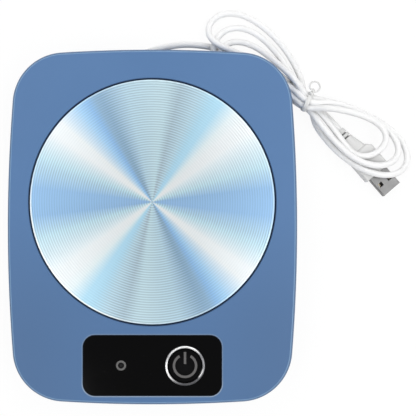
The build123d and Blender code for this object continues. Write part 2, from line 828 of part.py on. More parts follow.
# ---------------------------------------------------------------- power button
# A bright ring pushed up from inside, whose flange seats under the cover's floor.
with BuildPart() as button_bezel:
    with BuildSketch(Plane.XY.offset(bezel_flange_bottom)):
        with Locations((button_x, panel_y)):
            Circle(bezel_flange_diameter / 2)
    extrude(amount=bezel_flange_thickness)
    with BuildSketch(Plane.XY.offset(bezel_flange_bottom)):
        with Locations((button_x, panel_y)):
            Circle(bezel_radius)
    extrude(amount=body_height + bezel_stand - bezel_flange_bottom)
    with BuildSketch(Plane.XY.offset(bezel_flange_bottom)):
        with Locations((button_x, panel_y)):
            Circle(bezel_bore)
    extrude(amount=body_height + bezel_stand - bezel_flange_bottom, mode=Mode.SUBTRACT)
    fillet(button_bezel.edges().group_by(Axis.Z)[-1], bezel_edge_radius)
write(button_bezel.part, "button_bezel")


def power_symbol():
    """The power sign: an arc that is open at the top, with round ends, and an upright bar in its gap."""
    arc_radius = (icon_diameter - icon_stroke) / 2
    with BuildSketch() as symbol:
        with BuildLine():
            CenterArc((0, 0), arc_radius, 90 + icon_opening / 2, 360 - icon_opening)
        trace(line_width=icon_stroke)
        with Locations((0, icon_bar_low + icon_bar_length / 2)):
            SlotOverall(icon_bar_length, icon_stroke, rotation=90)
        with Locations(
            (-arc_radius * sin(radians(icon_opening / 2)), arc_radius * cos(radians(icon_opening / 2))),
            (arc_radius * sin(radians(icon_opening / 2)), arc_radius * cos(radians(icon_opening / 2))),
        ):
            Circle(icon_stroke / 2)
    return symbol.sketch


# The cap is a moulded cup with a stem in the middle. Its flange holds it under the ring.
with BuildPart() as button_cap:
    with BuildSketch(Plane.XY.offset(button_flange_bottom)):
        with Locations((button_x, panel_y)):
            Circle(button_radius)
    extrude(amount=button_top - button_flange_bottom)
    chamfer(button_cap.edges().group_by(Axis.Z)[-1], button_bevel)
    with BuildSketch(Plane.XY.offset(button_flange_bottom)):
        with Locations((button_x, panel_y)):
            Circle(button_radius + button_flange_width)
    extrude(amount=button_flange_thickness)
    with BuildSketch(Plane.XY.offset(button_flange_bottom)):
        with Locations((button_x, panel_y)):
            Circle(button_radius - button_wall)
    extrude(amount=button_top - button_wall - button_flange_bottom, mode=Mode.SUBTRACT)
    with BuildSketch(Plane.XY.offset(button_flange_bottom)):
        with Locations((button_x, panel_y)):
            Rectangle(2 * button_radius - button_wall, button_rib_thickness)
            Rectangle(button_rib_thickness, 2 * button_radius - button_wall)
    extrude(amount=button_top - button_wall - button_flange_bottom)
    with BuildSketch(Plane.XY.offset(stem_bottom)):
        with Locations((button_x, panel_y)):
            Circle(button_stem_diameter / 2)
    extrude(amount=button_top - button_wall - stem_bottom)
    with BuildSketch(Plane.XY.offset(button_top)):
        with Locations((button_x, panel_y)):
            add(power_symbol())
    extrude(amount=-icon_depth, mode=Mode.SUBTRACT)
write(button_cap.part, "button_cap")

# The sign is a translucent inlay, flush with the cap's face.
with BuildPart() as button_icon:
    with BuildSketch(Plane.XY.offset(button_top)):
        with Locations((button_x, panel_y)):
            add(power_symbol())
    extrude(amount=-icon_depth)
write(button_icon.part, "button_icon")

# ---------------------------------------------------------------- switch
with BuildPart() as switch_body:
    with BuildSketch(Plane.XY.offset(board_top)):
        with Locations((button_x, panel_y)):
            Rectangle(switch_size, switch_size)
    extrude(amount=switch_height)
    with BuildSketch(Plane.XY.offset(switch_top)):
        with Locations((button_x, panel_y)):
            Circle(plunger_diameter / 2 + plunger_gap)
    extrude(amount=-(plunger_depth + button_travel + plunger_end_gap), mode=Mode.SUBTRACT)
write(switch_body.part, "switch_body")

with BuildPart() as switch_plunger:
    with BuildSketch(Plane.XY.offset(switch_top - plunger_depth)):
        with Locations((button_x, panel_y)):
            Circle(plunger_diameter / 2)
    extrude(amount=plunger_stand + plunger_depth)
write(switch_plunger.part, "switch_plunger")

# ---------------------------------------------------------------- control board
# The board hangs from the cover's posts on four screws, with its parts on the upper face.
with BuildPart() as control_board:
    with BuildSketch(Plane.XY.offset(board_bottom)):
        with Locations((0, board_y)):
            Rectangle(board_width, board_length)
            with GridLocations(2 * board_post_x, 2 * board_post_y, 2, 2):
                Circle(board_screw_diameter / 2 + screw_hole_gap, mode=Mode.SUBTRACT)
    extrude(amount=board_thickness)
write(control_board.part, "control_board")

with BuildPart() as board_screws:
    with BuildSketch(Plane.XY.offset(board_bottom - board_screw_head_height)):
        with Locations((0, board_y)):
            with GridLocations(2 * board_post_x, 2 * board_post_y, 2, 2):
                Circle(board_screw_head_diameter / 2)
    extrude(amount=board_screw_head_height)
    with BuildSketch(Plane.XY.offset(board_bottom)):
        with Locations((0, board_y)):
            with GridLocations(2 * board_post_x, 2 * board_post_y, 2, 2):
                Circle(board_screw_diameter / 2)
    extrude(amount=board_screw_length)
write(board_screws.part, "board_screws")

with BuildPart() as controller_chip:
    with BuildSketch(Plane.XY.offset(board_top)):
        with Locations((controller_x, board_y + controller_y)):
            Rectangle(controller_width, controller_length)
    extrude(amount=controller_height)
write(controller_chip.part, "controller_chip")

with BuildPart() as power_transistor:
    with BuildSketch(Plane.XY.offset(board_top)):
        with Locations((transistor_x, board_y + transistor_y)):
            Rectangle(transistor_width, transistor_length)
    extrude(amount=transistor_height)
write(power_transistor.part, "power_transistor")

with BuildPart() as filter_capacitor:
    with BuildSketch(Plane.XY.offset(board_top)):
        with Locations((capacitor_x, board_y + capacitor_y)):
            Rectangle(capacitor_base, capacitor_base)
    extrude(amount=capacitor_base_height)
    with BuildSketch(Plane.XY.offset(board_top + capacitor_base_height)):
        with Locations((capacitor_x, board_y + capacitor_y)):
            Circle(capacitor_diameter / 2)
    extrude(amount=capacitor_height - capacitor_base_height)
write(filter_capacitor.part, "filter_capacitor")

with BuildPart() as chip_resistors:
    with BuildSketch(Plane.XY.offset(board_top)):
        with Locations((chip_x, board_y + chip_y)):
            with GridLocations(chip_pitch, 0, chip_count, 1):
                Rectangle(chip_width, chip_length)
    extrude(amount=chip_height)
write(chip_resistors.part, "chip_resistors")

connector_y = board_y + board_length / 2 + connector_edge_gap
connector_z = board_top + connector_height / 2
connector_places = [supply_connector_x, sensor_x, heater_connector_x]
with BuildPart() as board_connectors:
    with BuildSketch(Plane.XY.offset(board_top)):
        with Locations([(place, connector_y - connector_length / 2) for place in connector_places]):
            Rectangle(connector_width, connector_length)
    extrude(amount=connector_height)
write(board_connectors.part, "board_connectors")

with BuildPart() as indicator_led:
    with BuildSketch(Plane.XY.offset(board_top)):
        with Locations((indicator_x, panel_y)):
            Rectangle(led_size, led_size)
    extrude(amount=led_height)
write(indicator_led.part, "indicator_led")

# ---------------------------------------------------------------- cord's bush and clamp
# The cord passes a moulded bush in the plinth's rear wall. Its key sits behind the wall.
with BuildPart() as cord_bush:
    with BuildSketch(Plane.XZ.offset(-wall_inner_y)):
        with Locations((exit_x, (bush_key_bottom + bush_key_top) / 2)):
            Rectangle(bush_key_width, bush_key_top - bush_key_bottom)
    extrude(amount=bush_key_thickness)
    with BuildSketch(Plane.XZ.offset(-wall_inner_y)):
        with Locations((exit_x, exit_height)):
            Circle(cord_radius + bush_wall)
    extrude(amount=wall_inner_y - wall_outer_y)
    with BuildSketch(Plane.XZ.offset(-wall_outer_y)):
        with Locations((exit_x, exit_height)):
            Circle(cord_radius + bush_wall)
    with BuildSketch(Plane.XZ.offset(-exit_y)):
        with Locations((exit_x, exit_height)):
            Circle(cord_radius + bush_wall - bush_nub_taper)
    loft()
    with BuildSketch(Plane.XZ.offset(-exit_y)):
        with Locations((exit_x, exit_height)):
            Circle(cord_radius + cord_seat_gap)
    extrude(amount=exit_y - wall_inner_y + bush_key_thickness, mode=Mode.SUBTRACT)
write(cord_bush.part, "cord_bush")

# Inside, the cord lies in a trough of the floor.
with BuildPart() as inner_cord:
    with BuildSketch(Plane.XZ.offset(-exit_y)):
        with Locations((exit_x, exit_height)):
            Circle(cord_radius)
    extrude(amount=exit_y - wall_inner_y + inner_cord_length)
write(inner_cord.part, "inner_cord")

with BuildPart() as cord_clamp:
    with BuildSketch(Plane.XY.offset(clamp_bottom)):
        with Locations((exit_x, clamp_y)):
            SlotOverall(2 * clamp_reach + clamp_post_diameter, clamp_length)
            with GridLocations(2 * clamp_reach, 0, 2, 1):
                Circle(clamp_screw_diameter / 2 + screw_hole_gap, mode=Mode.SUBTRACT)
    extrude(amount=clamp_thickness)
write(cord_clamp.part, "cord_clamp")

with BuildPart() as clamp_screws:
    with BuildSketch(Plane.XY.offset(clamp_bottom + clamp_thickness)):
        with Locations((exit_x, clamp_y)):
            with GridLocations(2 * clamp_reach, 0, 2, 1):
                Circle(clamp_screw_head_diameter / 2)
    extrude(amount=clamp_screw_head_height)
    with BuildSketch(Plane.XY.offset(clamp_bottom + clamp_thickness)):
        with Locations((exit_x, clamp_y)):
            with GridLocations(2 * clamp_reach, 0, 2, 1):
                Circle(clamp_screw_diameter / 2)
    extrude(amount=-clamp_screw_length)
write(clamp_screws.part, "clamp_screws")

# ---------------------------------------------------------------- inner wires
# Each pair of wires runs straight to its connector: X is the connector's place, and the route is drawn
# in the upright plane through it.
wire_radius = wire_diameter / 2


def wire_pair(place, route):
    """Two wires side by side along one route of (Y, Z) corners, drawn in the active part."""
    for side in (-wire_pitch / 2, wire_pitch / 2):
        with BuildLine(Plane.YZ.offset(place + side)) as path:
            FilletPolyline(*route, radius=wire_bend_radius)
        with BuildSketch(Plane(origin=path.line @ 0, z_dir=path.line % 0)) as section:
            Circle(wire_radius)
        add(sweep(section.sketch, path=path.line, mode=Mode.PRIVATE))


floor_wire_z = floor_top + wire_rest_gap + wire_radius
shield_wire_z = shield_bottom - shield_bead_depth - wire_rest_gap - wire_radius
rise_start_y = connector_y + wire_rise_start
rise_end_y = connector_y + wire_rise_end
connector_end = (connector_y, connector_z)
cord_end_y = wall_inner_y - inner_cord_length

with BuildPart() as supply_wires:
    wire_pair(
        supply_connector_x,
        [(cord_end_y, exit_height), (rise_start_y, floor_wire_z), (rise_end_y, connector_z), connector_end],
    )
write(supply_wires.part, "supply_wires")

with BuildPart() as heater_wires:
    wire_pair(
        heater_connector_x,
        [(wire_hole_y, heater_bottom), (wire_hole_y, shield_wire_z), (rise_end_y, connector_z), connector_end],
    )
write(heater_wires.part, "heater_wires")

with BuildPart() as sensor_wires:
    wire_pair(
        sensor_x,
        [
            (plate_y, shield_top),
            (plate_y, shield_wire_z),
            (rise_start_y, shield_wire_z),
            (rise_end_y, connector_z),
            connector_end,
        ],
    )
write(sensor_wires.part, "sensor_wires")


# ---------------------------------------------------------------- hank of cord
# The folded cord as two flat drop-shaped lobes, each open in the middle, that meet in a bar of strands
# inside the tie. The right lobe is hollowed from below where it lies over the plug.
tie_bottom = tie_wire + tie_gap
overmould_front = shell_length
overmould_rear = overmould_front + overmould_length
neck_end = overmould_rear + neck_length
relief_end = neck_end + relief_length


def plug_section(setback):
    """The plane across the plug, a set way behind its mouth, looking back along it."""
    return Plane(
        origin=plug_plane.from_local_coords((-setback, 0, 0)),
        x_dir=-plug_plane.y_dir,
        z_dir=-plug_plane.x_dir,
    )


with BuildPart() as cord_hank:
    with BuildSketch():
        add(lobe_outline(left_lobe))
    extrude(amount=left_lobe_height)
    with BuildSketch():
        add(lobe_outline(right_lobe))
    extrude(amount=right_lobe_height)
    with BuildSketch(tie_plane):
        Rectangle(tie_band_width + 2 * tie_gap, left_lobe["reach"])
    extrude(amount=right_lobe_height, mode=Mode.SUBTRACT)
    for hollow in (left_hollow, right_hollow):
        with BuildSketch():
            add(lobe_outline(hollow))
        extrude(amount=right_lobe_height, mode=Mode.SUBTRACT)
    with BuildSketch(tie_plane.offset(tie_bottom)):
        Rectangle(bundle_length, bundle_width)
    extrude(amount=bundle_height)
    with BuildSketch(plug_section(0)):
        Rectangle(overmould_width + 2 * plug_clearance, overmould_height + 2 * plug_clearance)
    extrude(amount=overmould_rear + plug_clearance, mode=Mode.SUBTRACT)
    with BuildSketch(plug_section(overmould_rear)):
        Rectangle(neck_width + 2 * plug_clearance, overmould_height + 2 * plug_clearance)
    extrude(amount=relief_end - overmould_rear + plug_clearance, mode=Mode.SUBTRACT)
write(cord_hank.part, "cord_hank")

# ---------------------------------------------------------------- free cord
with BuildPart() as cord_lead:
    with BuildLine() as lead_line:
        cord_path([(exit_x, exit_y, exit_height)] + lead_corners)
    with BuildSketch(Plane(origin=lead_line.line @ 0, z_dir=lead_line.line % 0)):
        Circle(cord_radius)
    sweep(path=lead_line.line)
    add(cord_hank.part, mode=Mode.SUBTRACT)
write(cord_lead.part, "cord_lead")

relief_face = plug_plane.from_local_coords((-relief_end, 0, 0))
tail_corner = plug_plane.from_local_coords((-relief_end - tail_straight, 0, 0))
with BuildPart() as cord_tail:
    with BuildLine() as tail_line:
        cord_path([tail_start, tail_corner, relief_face])
    with BuildSketch(Plane(origin=tail_line.line @ 0, z_dir=tail_line.line % 0)):
        Circle(cord_radius)
    sweep(path=tail_line.line)
    add(cord_hank.part, mode=Mode.SUBTRACT)
write(cord_tail.part, "cord_tail")

for name, line, cord in (("lead", lead_line.line, cord_lead.part), ("tail", tail_line.line, cord_tail.part)):
    run = sum(edge.length for edge in line.edges())
    print(name, "route, mm:", round(run, 1), "section x route:", round(pi * cord_radius**2 * run))
    print(name, "volume:", round(cord.volume), "solids:", len(cord.solids()))

# ---------------------------------------------------------------- tie
# A flat wire tie round the strands, closed by a small twisted loop on top.
with BuildPart() as cord_tie:
    with BuildSketch(Plane(origin=tie_plane.origin, x_dir=tie_plane.y_dir, z_dir=tie_plane.x_dir)):
        with Locations((0, tie_bottom + bundle_height / 2)):
            RectangleRounded(
                bundle_width + 2 * (tie_gap + tie_wire), bundle_height + 2 * (tie_gap + tie_wire), tie_corner
            )
            Rectangle(bundle_width + 2 * tie_gap, bundle_height + 2 * tie_gap, mode=Mode.SUBTRACT)
    extrude(amount=tie_band_width / 2, both=True)
    with BuildSketch(tie_plane.offset(tie_bottom + bundle_height + tie_gap)):
        with Locations((-tie_loop_back, bundle_width / 2 + tie_loop_out)):
            Circle(tie_loop_diameter / 2)
            Circle(tie_loop_diameter / 2 - tie_wire, mode=Mode.SUBTRACT)
    extrude(amount=tie_wire)
write(cord_tie.part, "cord_tie")

# ---------------------------------------------------------------- USB plug
# The moulded grip: a wide body with a sloped shoulder, a neck and a grooved strain relief.
with BuildPart() as usb_overmould:
    with BuildSketch(plug_plane.offset(-overmould_height / 2)):
        with Locations((-overmould_front, 0)):
            Rectangle(overmould_length, overmould_width, align=(Align.MAX, Align.CENTER))
    extrude(amount=overmould_height)
    upright = usb_overmould.edges().filter_by(Axis.Z)
    shoulder = upright.sort_by(lambda edge: plug_plane.to_local_coords(edge.center()).X)[:2]
    chamfer(shoulder, shoulder_chamfer)
    fillet(usb_overmould.edges().group_by(Axis.Z)[-1], overmould_edge_radius)
    fillet(usb_overmould.edges().group_by(Axis.Z)[0], overmould_edge_radius)
    with BuildSketch(plug_section(overmould_rear)):
        RectangleRounded(neck_width, neck_height, neck_edge_radius)
    with BuildSketch(plug_section(neck_end)):
        Circle(neck_end_diameter / 2)
    loft()
    with BuildSketch(plug_section(neck_end)):
        Circle(neck_end_diameter / 2)
    with BuildSketch(plug_section(relief_end)):
        Circle(relief_end_diameter / 2)
    loft()
    for groove in range(relief_groove_count):
        with BuildSketch(plug_section(neck_end + groove * relief_groove_pitch)):
            Circle(neck_end_diameter)
            Circle(relief_end_diameter / 2 - relief_groove_depth, mode=Mode.SUBTRACT)
        extrude(amount=relief_groove_width, mode=Mode.SUBTRACT)
    with BuildSketch(plug_section(overmould_front)):
        RectangleRounded(shell_width, shell_height, shell_corner_radius)
    extrude(amount=shell_anchor, mode=Mode.SUBTRACT)
write(usb_overmould.part, "usb_overmould")

with BuildPart() as usb_shell:
    with BuildSketch(plug_section(0)):
        RectangleRounded(shell_width, shell_height, shell_corner_radius)
        Rectangle(shell_width - 2 * shell_wall, shell_height - 2 * shell_wall, mode=Mode.SUBTRACT)
    extrude(amount=shell_length + shell_anchor)
    with BuildSketch(plug_plane.offset(-shell_height / 2)):
        with Locations((-shell_window_setback, 0)):
            with GridLocations(0, shell_window_pitch, 1, 2):
                Rectangle(shell_window, shell_window)
    extrude(amount=shell_height, mode=Mode.SUBTRACT)
write(usb_shell.part, "usb_shell")

tongue_bottom = shell_wall - shell_height / 2
with BuildPart() as usb_tongue:
    with BuildSketch(plug_plane.offset(tongue_bottom)):
        with Locations((-tongue_setback, 0)):
            Rectangle(
                shell_length + shell_anchor - tongue_setback, tongue_width, align=(Align.MAX, Align.CENTER)
            )
    extrude(amount=tongue_thickness)
write(usb_tongue.part, "usb_tongue")

with BuildPart() as usb_contacts:
    with BuildSketch(plug_plane.offset(tongue_bottom + tongue_thickness)):
        with Locations((-contact_setback, 0)):
            with GridLocations(0, contact_pitch, 1, contact_count):
                Rectangle(
                    shell_length - contact_setback, contact_width, align=(Align.MAX, Align.CENTER)
                )
    extrude(amount=contact_thickness)
write(usb_contacts.part, "usb_contacts")
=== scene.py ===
import math

import bpy
import numpy as np
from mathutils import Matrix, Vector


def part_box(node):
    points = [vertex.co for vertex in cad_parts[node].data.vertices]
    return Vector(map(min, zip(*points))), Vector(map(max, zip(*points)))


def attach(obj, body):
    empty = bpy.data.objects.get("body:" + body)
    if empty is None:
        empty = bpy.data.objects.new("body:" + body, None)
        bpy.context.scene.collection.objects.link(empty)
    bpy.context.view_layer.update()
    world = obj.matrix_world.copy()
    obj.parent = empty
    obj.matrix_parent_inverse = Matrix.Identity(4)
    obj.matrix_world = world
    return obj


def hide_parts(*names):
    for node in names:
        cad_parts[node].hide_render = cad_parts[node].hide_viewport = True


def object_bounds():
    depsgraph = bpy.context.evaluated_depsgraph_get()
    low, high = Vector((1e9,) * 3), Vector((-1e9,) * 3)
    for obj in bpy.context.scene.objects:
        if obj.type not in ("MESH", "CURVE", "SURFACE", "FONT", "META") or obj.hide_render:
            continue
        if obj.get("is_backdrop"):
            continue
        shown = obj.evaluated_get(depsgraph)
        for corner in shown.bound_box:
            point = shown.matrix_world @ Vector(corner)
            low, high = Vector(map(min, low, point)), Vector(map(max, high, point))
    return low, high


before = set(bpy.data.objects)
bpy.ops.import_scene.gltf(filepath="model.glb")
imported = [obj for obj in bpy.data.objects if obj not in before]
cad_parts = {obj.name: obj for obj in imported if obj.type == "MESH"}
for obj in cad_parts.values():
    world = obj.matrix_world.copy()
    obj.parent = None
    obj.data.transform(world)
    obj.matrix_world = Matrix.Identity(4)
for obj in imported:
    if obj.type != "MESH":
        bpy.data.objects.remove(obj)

cad_low, cad_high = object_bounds()

# ------------------------------------------------------------------------------------------------
# Housing: a lower tray and a bowed top cover, both moulded in blue ABS and screwed together. The
# mould leaves a fine even texture. A painted highlight lightens the top edge and the rim of the
# panel's pocket, painted shade darkens the rounding under the top edge, the brim of the plate's
# recess and the front, and the cover's lowest edge is rubbed a little lighter.


class Shade:
    """A value that changes over a surface. It wraps one output socket, and sums add Math nodes."""

    def __init__(self, tree, socket):
        self.tree = tree
        self.socket = socket

    def node(self, kind, settings=None, values=None, output=0):
        """Adds a node: first its settings, then its sockets' values or links. Gives one output."""
        made = self.tree.nodes.new(kind)
        for name, value in (settings or {}).items():
            if name == "stops":
                ramp = made.color_ramp
                while len(ramp.elements) > 1:
                    ramp.elements.remove(ramp.elements[-1])
                ramp.elements[0].position = value[0][0]
                ramp.elements[0].color = (*value[0][1], 1.0)
                for position, colour in value[1:]:
                    ramp.elements.new(position).color = (*colour, 1.0)
            else:
                setattr(made, name, value)
        for name, value in (values or {}).items():
            if isinstance(value, Shade):
                self.tree.links.new(value.socket, made.inputs[name])
            else:
                made.inputs[name].default_value = value
        return Shade(self.tree, made.outputs[output])

    def math(self, operation, *values):
        """One Math node, on numbers or other shades."""
        return self.node("ShaderNodeMath", {"operation": operation}, dict(enumerate(values)))

    def __add__(self, other):
        return self.math("ADD", self, other)

    def __radd__(self, other):
        return self.math("ADD", other, self)

    def __sub__(self, other):
        return self.math("SUBTRACT", self, other)

    def __rsub__(self, other):
        return self.math("SUBTRACT", other, self)

    def __mul__(self, other):
        return self.math("MULTIPLY", self, other)

    def __rmul__(self, other):
        return self.math("MULTIPLY", other, self)

    def __truediv__(self, other):
        return self.math("DIVIDE", self, other)

    def __rtruediv__(self, other):
        return self.math("DIVIDE", other, self)

    def sine(self):
        """The sine of this value."""
        return self.math("SINE", self)

    def size(self):
        """The value without its sign."""
        return self.math("ABSOLUTE", self)

    def step(self, low, high):
        """A soft step: 0 up to low and 1 from high on, with low above high for a falling one."""
        values = {"Value": self, "From Min": low, "From Max": high}
        return self.node("ShaderNodeMapRange", {"interpolation_type": "SMOOTHSTEP"}, values)

    def part(self, axis):
        """One coordinate of a place: X, Y or Z."""
        return self.node("ShaderNodeSeparateXYZ", None, {0: self}, axis)

    def shifted(self, centre):
        """A place measured from another centre."""
        values = {0: self, 1: centre}
        return self.node("ShaderNodeVectorMath", {"operation": "SUBTRACT"}, values)

    def stretched(self, factors):
        """A place with each of its coordinates scaled on its own."""
        values = {0: self, 1: factors}
        return self.node("ShaderNodeVectorMath", {"operation": "MULTIPLY"}, values)

    def radius(self):
        """Distance of a place from the upright axis through its centre."""
        flat = self.stretched((1.0, 1.0, 0.0))
        return self.node("ShaderNodeVectorMath", {"operation": "LENGTH"}, {0: flat}, "Value")

    def rounded_box(self, half, corner):
        """How far a place is outside a flat rounded rectangle of these half sizes, or < 0 inside.

        Each coordinate's size, less the half size and plus the corner's radius, is taken no
        smaller than 0. The distance is the length of the two, less the corner's radius.
        """
        sides = [self.part(axis).size() - span + corner for axis, span in zip("XY", half)]
        over = [side.math("MAXIMUM", side, 0.0) for side in sides]
        squares = over[0] * over[0] + over[1] * over[1]
        return squares.math("SQRT", squares) - corner

    def noise(self, pitch, detail=2.0):
        """Soft noise whose spots are about one pitch apart, in metres."""
        values = {"Vector": self, "Scale": 1.0 / pitch, "Detail": detail}
        return self.node("ShaderNodeTexNoise", None, values)

    def cells(self, pitch, output="Distance"):
        """Cells about one pitch apart: the distance to their middles, or a colour for each."""
        values = {"Vector": self, "Scale": 1.0 / pitch}
        return self.node("ShaderNodeTexVoronoi", None, values, output)

    def ramp(self, stops, whole):
        """The colour that a ramp has at this value. A stop is a part of the whole, and a colour."""
        shares = [(part / whole, colour) for part, colour in stops]
        return self.node("ShaderNodeValToRGB", {"stops": shares}, {"Fac": self}, "Color")

    def between(self, low, high):
        """A colour from low, where this value is 0, to high, where it is 1."""
        values = {0: self}
        for index, colour in ((6, low), (7, high)):
            values[index] = colour if isinstance(colour, Shade) else (*colour, 1.0)
        return self.node("ShaderNodeMix", {"data_type": "RGBA"}, values, 2)

    def feed(self, surface, socket):
        """Links this value to one of the shader's sockets."""
        self.tree.links.new(self.socket, surface.inputs[socket])

    def relief(self, surface, depth):
        """Uses this value, times a depth in metres, as the surface's height."""
        values = {"Height": self, "Distance": depth, "Strength": 1.0}
        self.node("ShaderNodeBump", None, values).feed(surface, "Normal")


def new_finish(name, **fixed):
    """Starts a material: gives it, its Principled shader with the fixed values, and the place."""
    finish = bpy.data.materials.new(name)
    finish.use_nodes = True
    tree = finish.node_tree
    surface = tree.nodes["Principled BSDF"]
    for socket, value in fixed.items():
        surface.inputs[socket.replace("_", " ")].default_value = value
    place = tree.nodes.new("ShaderNodeTexCoord")
    return finish, surface, Shade(tree, place.outputs["Object"])


def dress(finish, *names):
    """Puts a finish on these CAD nodes, in the material slots that they have."""
    for name in names:
        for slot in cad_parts[name].material_slots:
            slot.material = finish


def seen_from_above(name):
    """The middle of a CAD node's box, with no height, and the box's two half sizes."""
    low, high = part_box(name)
    middle = ((low[0] + high[0]) / 2, (low[1] + high[1]) / 2, 0.0)
    return middle, ((high[0] - low[0]) / 2, (high[1] - low[1]) / 2)


blue_low = (0.067, 0.158, 0.332)
blue_high = (0.080, 0.179, 0.367)
blue_painted_shade = (0.058, 0.134, 0.280)
blue_wear_and_highlight = (0.190, 0.320, 0.500)
blue_painted_flank_shade = (0.105, 0.172, 0.285)
blue_painted_highlight = (0.290, 0.370, 0.470)
blue_painted_gap_shade = (0.010, 0.045, 0.120)
spark_pitch = 0.00055
spark_depth = 0.000012
cloud_pitch = 0.035
scuff_pitch = 0.004

cover_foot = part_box("top_cover")[0][2]
cover_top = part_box("top_cover")[1][2]
plate_centre, plate_half = seen_from_above("heating_plate")
panel_centre, panel_half = seen_from_above("control_panel")
panel_corner = 0.0067
recess_radius = 0.06815

# Each pair is where a soft step is 0 and where it is 1, in metres: above the cover's foot, below
# its top, outwards from the pocket's or the recess's edge, or along one of the ground's axes.
scuff_from = (-0.0004, 0.0004)
scuff_to = (0.0022, 0.0010)
edge_from = (0.00016, 0.00006)
edge_to = (0.000001, 0.000015)
flank_from = (0.0019, 0.0013)
flank_to = (0.00006, 0.00016)
pocket_from = (0.0, 0.0001)
pocket_to = (0.0007, 0.0004)
pocket_below = (0.0005, 0.0001)
pocket_front = (-0.080, -0.090)
brim_from = (0.0005, 0.0002)
brim_below = (0.0015, 0.0005)
front_from = (0.03, -0.07)
side_from = (0.02, 0.07)

blue, surface, place = new_finish("housing_blue", Metallic=0.0, IOR=1.46)
spark = place.noise(spark_pitch, detail=3.0)
cloud = place.noise(cloud_pitch, detail=3.0)
above = place.part("Z") - cover_foot
below = cover_top - place.part("Z")
tone = (cloud * 0.7 + spark * 0.3).between(blue_low, blue_high)

# Painted shade: the cover grows darker towards the front, and more so towards the sides.
painted_front_shade = place.part("Y").step(*front_from)
painted_front_shade = painted_front_shade * (0.6 + 0.4 * place.part("X").size().step(*side_from))
tone = painted_front_shade.between(tone, blue_painted_shade)

# Wear rubs the cover's lowest edge lighter, and a painted highlight lightens a thin line at the top
# edge.
scuffed = above.step(*scuff_from) * above.step(*scuff_to)
scuffed = scuffed * place.noise(scuff_pitch, detail=4.0).step(0.50, 0.70) * 0.5
painted_edge_lighting = below.step(*edge_from) * below.step(*edge_to) * 0.8
tone = (scuffed + painted_edge_lighting).between(tone, blue_wear_and_highlight)
# Painted shade on the rounding just under the top edge.
painted_flank_shade = below.step(*flank_from) * below.step(*flank_to) * 0.8
tone = painted_flank_shade.between(tone, blue_painted_flank_shade)

# A painted highlight on the rim of the panel's pocket, stronger towards the front.
beyond = place.shifted(panel_centre).rounded_box(panel_half, panel_corner)
painted_pocket_highlight = beyond.step(*pocket_from) * beyond.step(*pocket_to) * below.step(*pocket_below)
painted_pocket_highlight = painted_pocket_highlight * (0.35 + 0.5 * place.part("Y").step(*pocket_front))
tone = painted_pocket_highlight.between(tone, blue_painted_highlight)

# Painted shade on the brim of the plate's recess, beside the gap round the plate.
beyond = place.shifted(plate_centre).radius() - recess_radius
painted_brim_shade = beyond.step(*brim_from) * below.step(*brim_below) * 0.6
tone = painted_brim_shade.between(tone, blue_painted_gap_shade)
tone.feed(surface, "Base Color")
(0.40 + 0.10 * spark + 0.05 * cloud).feed(surface, "Roughness")
spark.relief(surface, spark_depth)
dress(blue, "top_cover", "base_cover")

# ------------------------------------------------------------------------------------------------
# Feet and fasteners: four rubber feet pressed into the tray, and zinc-plated steel screws and
# nuts, with fine rings from their forming and a few duller stains.

rubber_low = (0.018, 0.018, 0.020)
rubber_high = (0.055, 0.055, 0.058)
stain_low = (0.46, 0.46, 0.47)
stain_high = (0.66, 0.66, 0.64)

foot_rubber, surface, place = new_finish("foot_rubber", IOR=1.5, Specular_IOR_Level=0.35)
bloom = place.noise(pitch=0.0014, detail=5.0)
bloom.between(rubber_low, rubber_high).feed(surface, "Base Color")
(0.72 + 0.2 * bloom).feed(surface, "Roughness")
place.noise(pitch=0.0004, detail=2.0).relief(surface, depth=0.00003)
dress(foot_rubber, "rubber_feet")

screw_steel, surface, place = new_finish("screw_steel", Metallic=1.0)
drawn = place.stretched((1.0, 1.0, 9.0)).noise(pitch=0.0006, detail=4.0)
stain = place.noise(pitch=0.003, detail=3.0)
stain.between(stain_low, stain_high).feed(surface, "Base Color")
(0.24 + 0.26 * drawn).feed(surface, "Roughness")
drawn.relief(surface, depth=0.000015)
dress(screw_steel, "case_screws", "board_screws", "clamp_screws", "plate_nuts")

# ------------------------------------------------------------------------------------------------
# Heater stack under the plate: an etched foil between two amber films, a felt pad, a pressed
# steel shield that clamps both, and the thermal fuse in its spring clip.

track_pitch = 0.0042
amber_low = (0.36, 0.15, 0.03)
amber_high = (0.52, 0.26, 0.07)
foil_low = (0.45, 0.42, 0.38)
foil_high = (0.62, 0.58, 0.52)
felt_low = (0.58, 0.55, 0.49)
felt_high = (0.84, 0.82, 0.77)
zinc_low = (0.42, 0.43, 0.45)
zinc_high = (0.72, 0.73, 0.74)
fuse_low = (0.55, 0.52, 0.45)
fuse_high = (0.78, 0.76, 0.70)

heater_foil, surface, place = new_finish("heater_foil", IOR=1.55)
radius = place.shifted(plate_centre).radius()
track = (radius * (2 * math.pi / track_pitch)).sine().step(-0.15, 0.15)
mottle = place.noise(pitch=0.006, detail=4.0)
film = mottle.between(amber_low, amber_high)
foil = mottle.between(foil_low, foil_high)
track.between(film, foil).feed(surface, "Base Color")
(0.22 + 0.18 * mottle + 0.1 * track).feed(surface, "Roughness")
(track * 0.85).feed(surface, "Metallic")
(track + 0.2 * mottle).relief(surface, depth=0.00005)
dress(heater_foil, "heater_film")

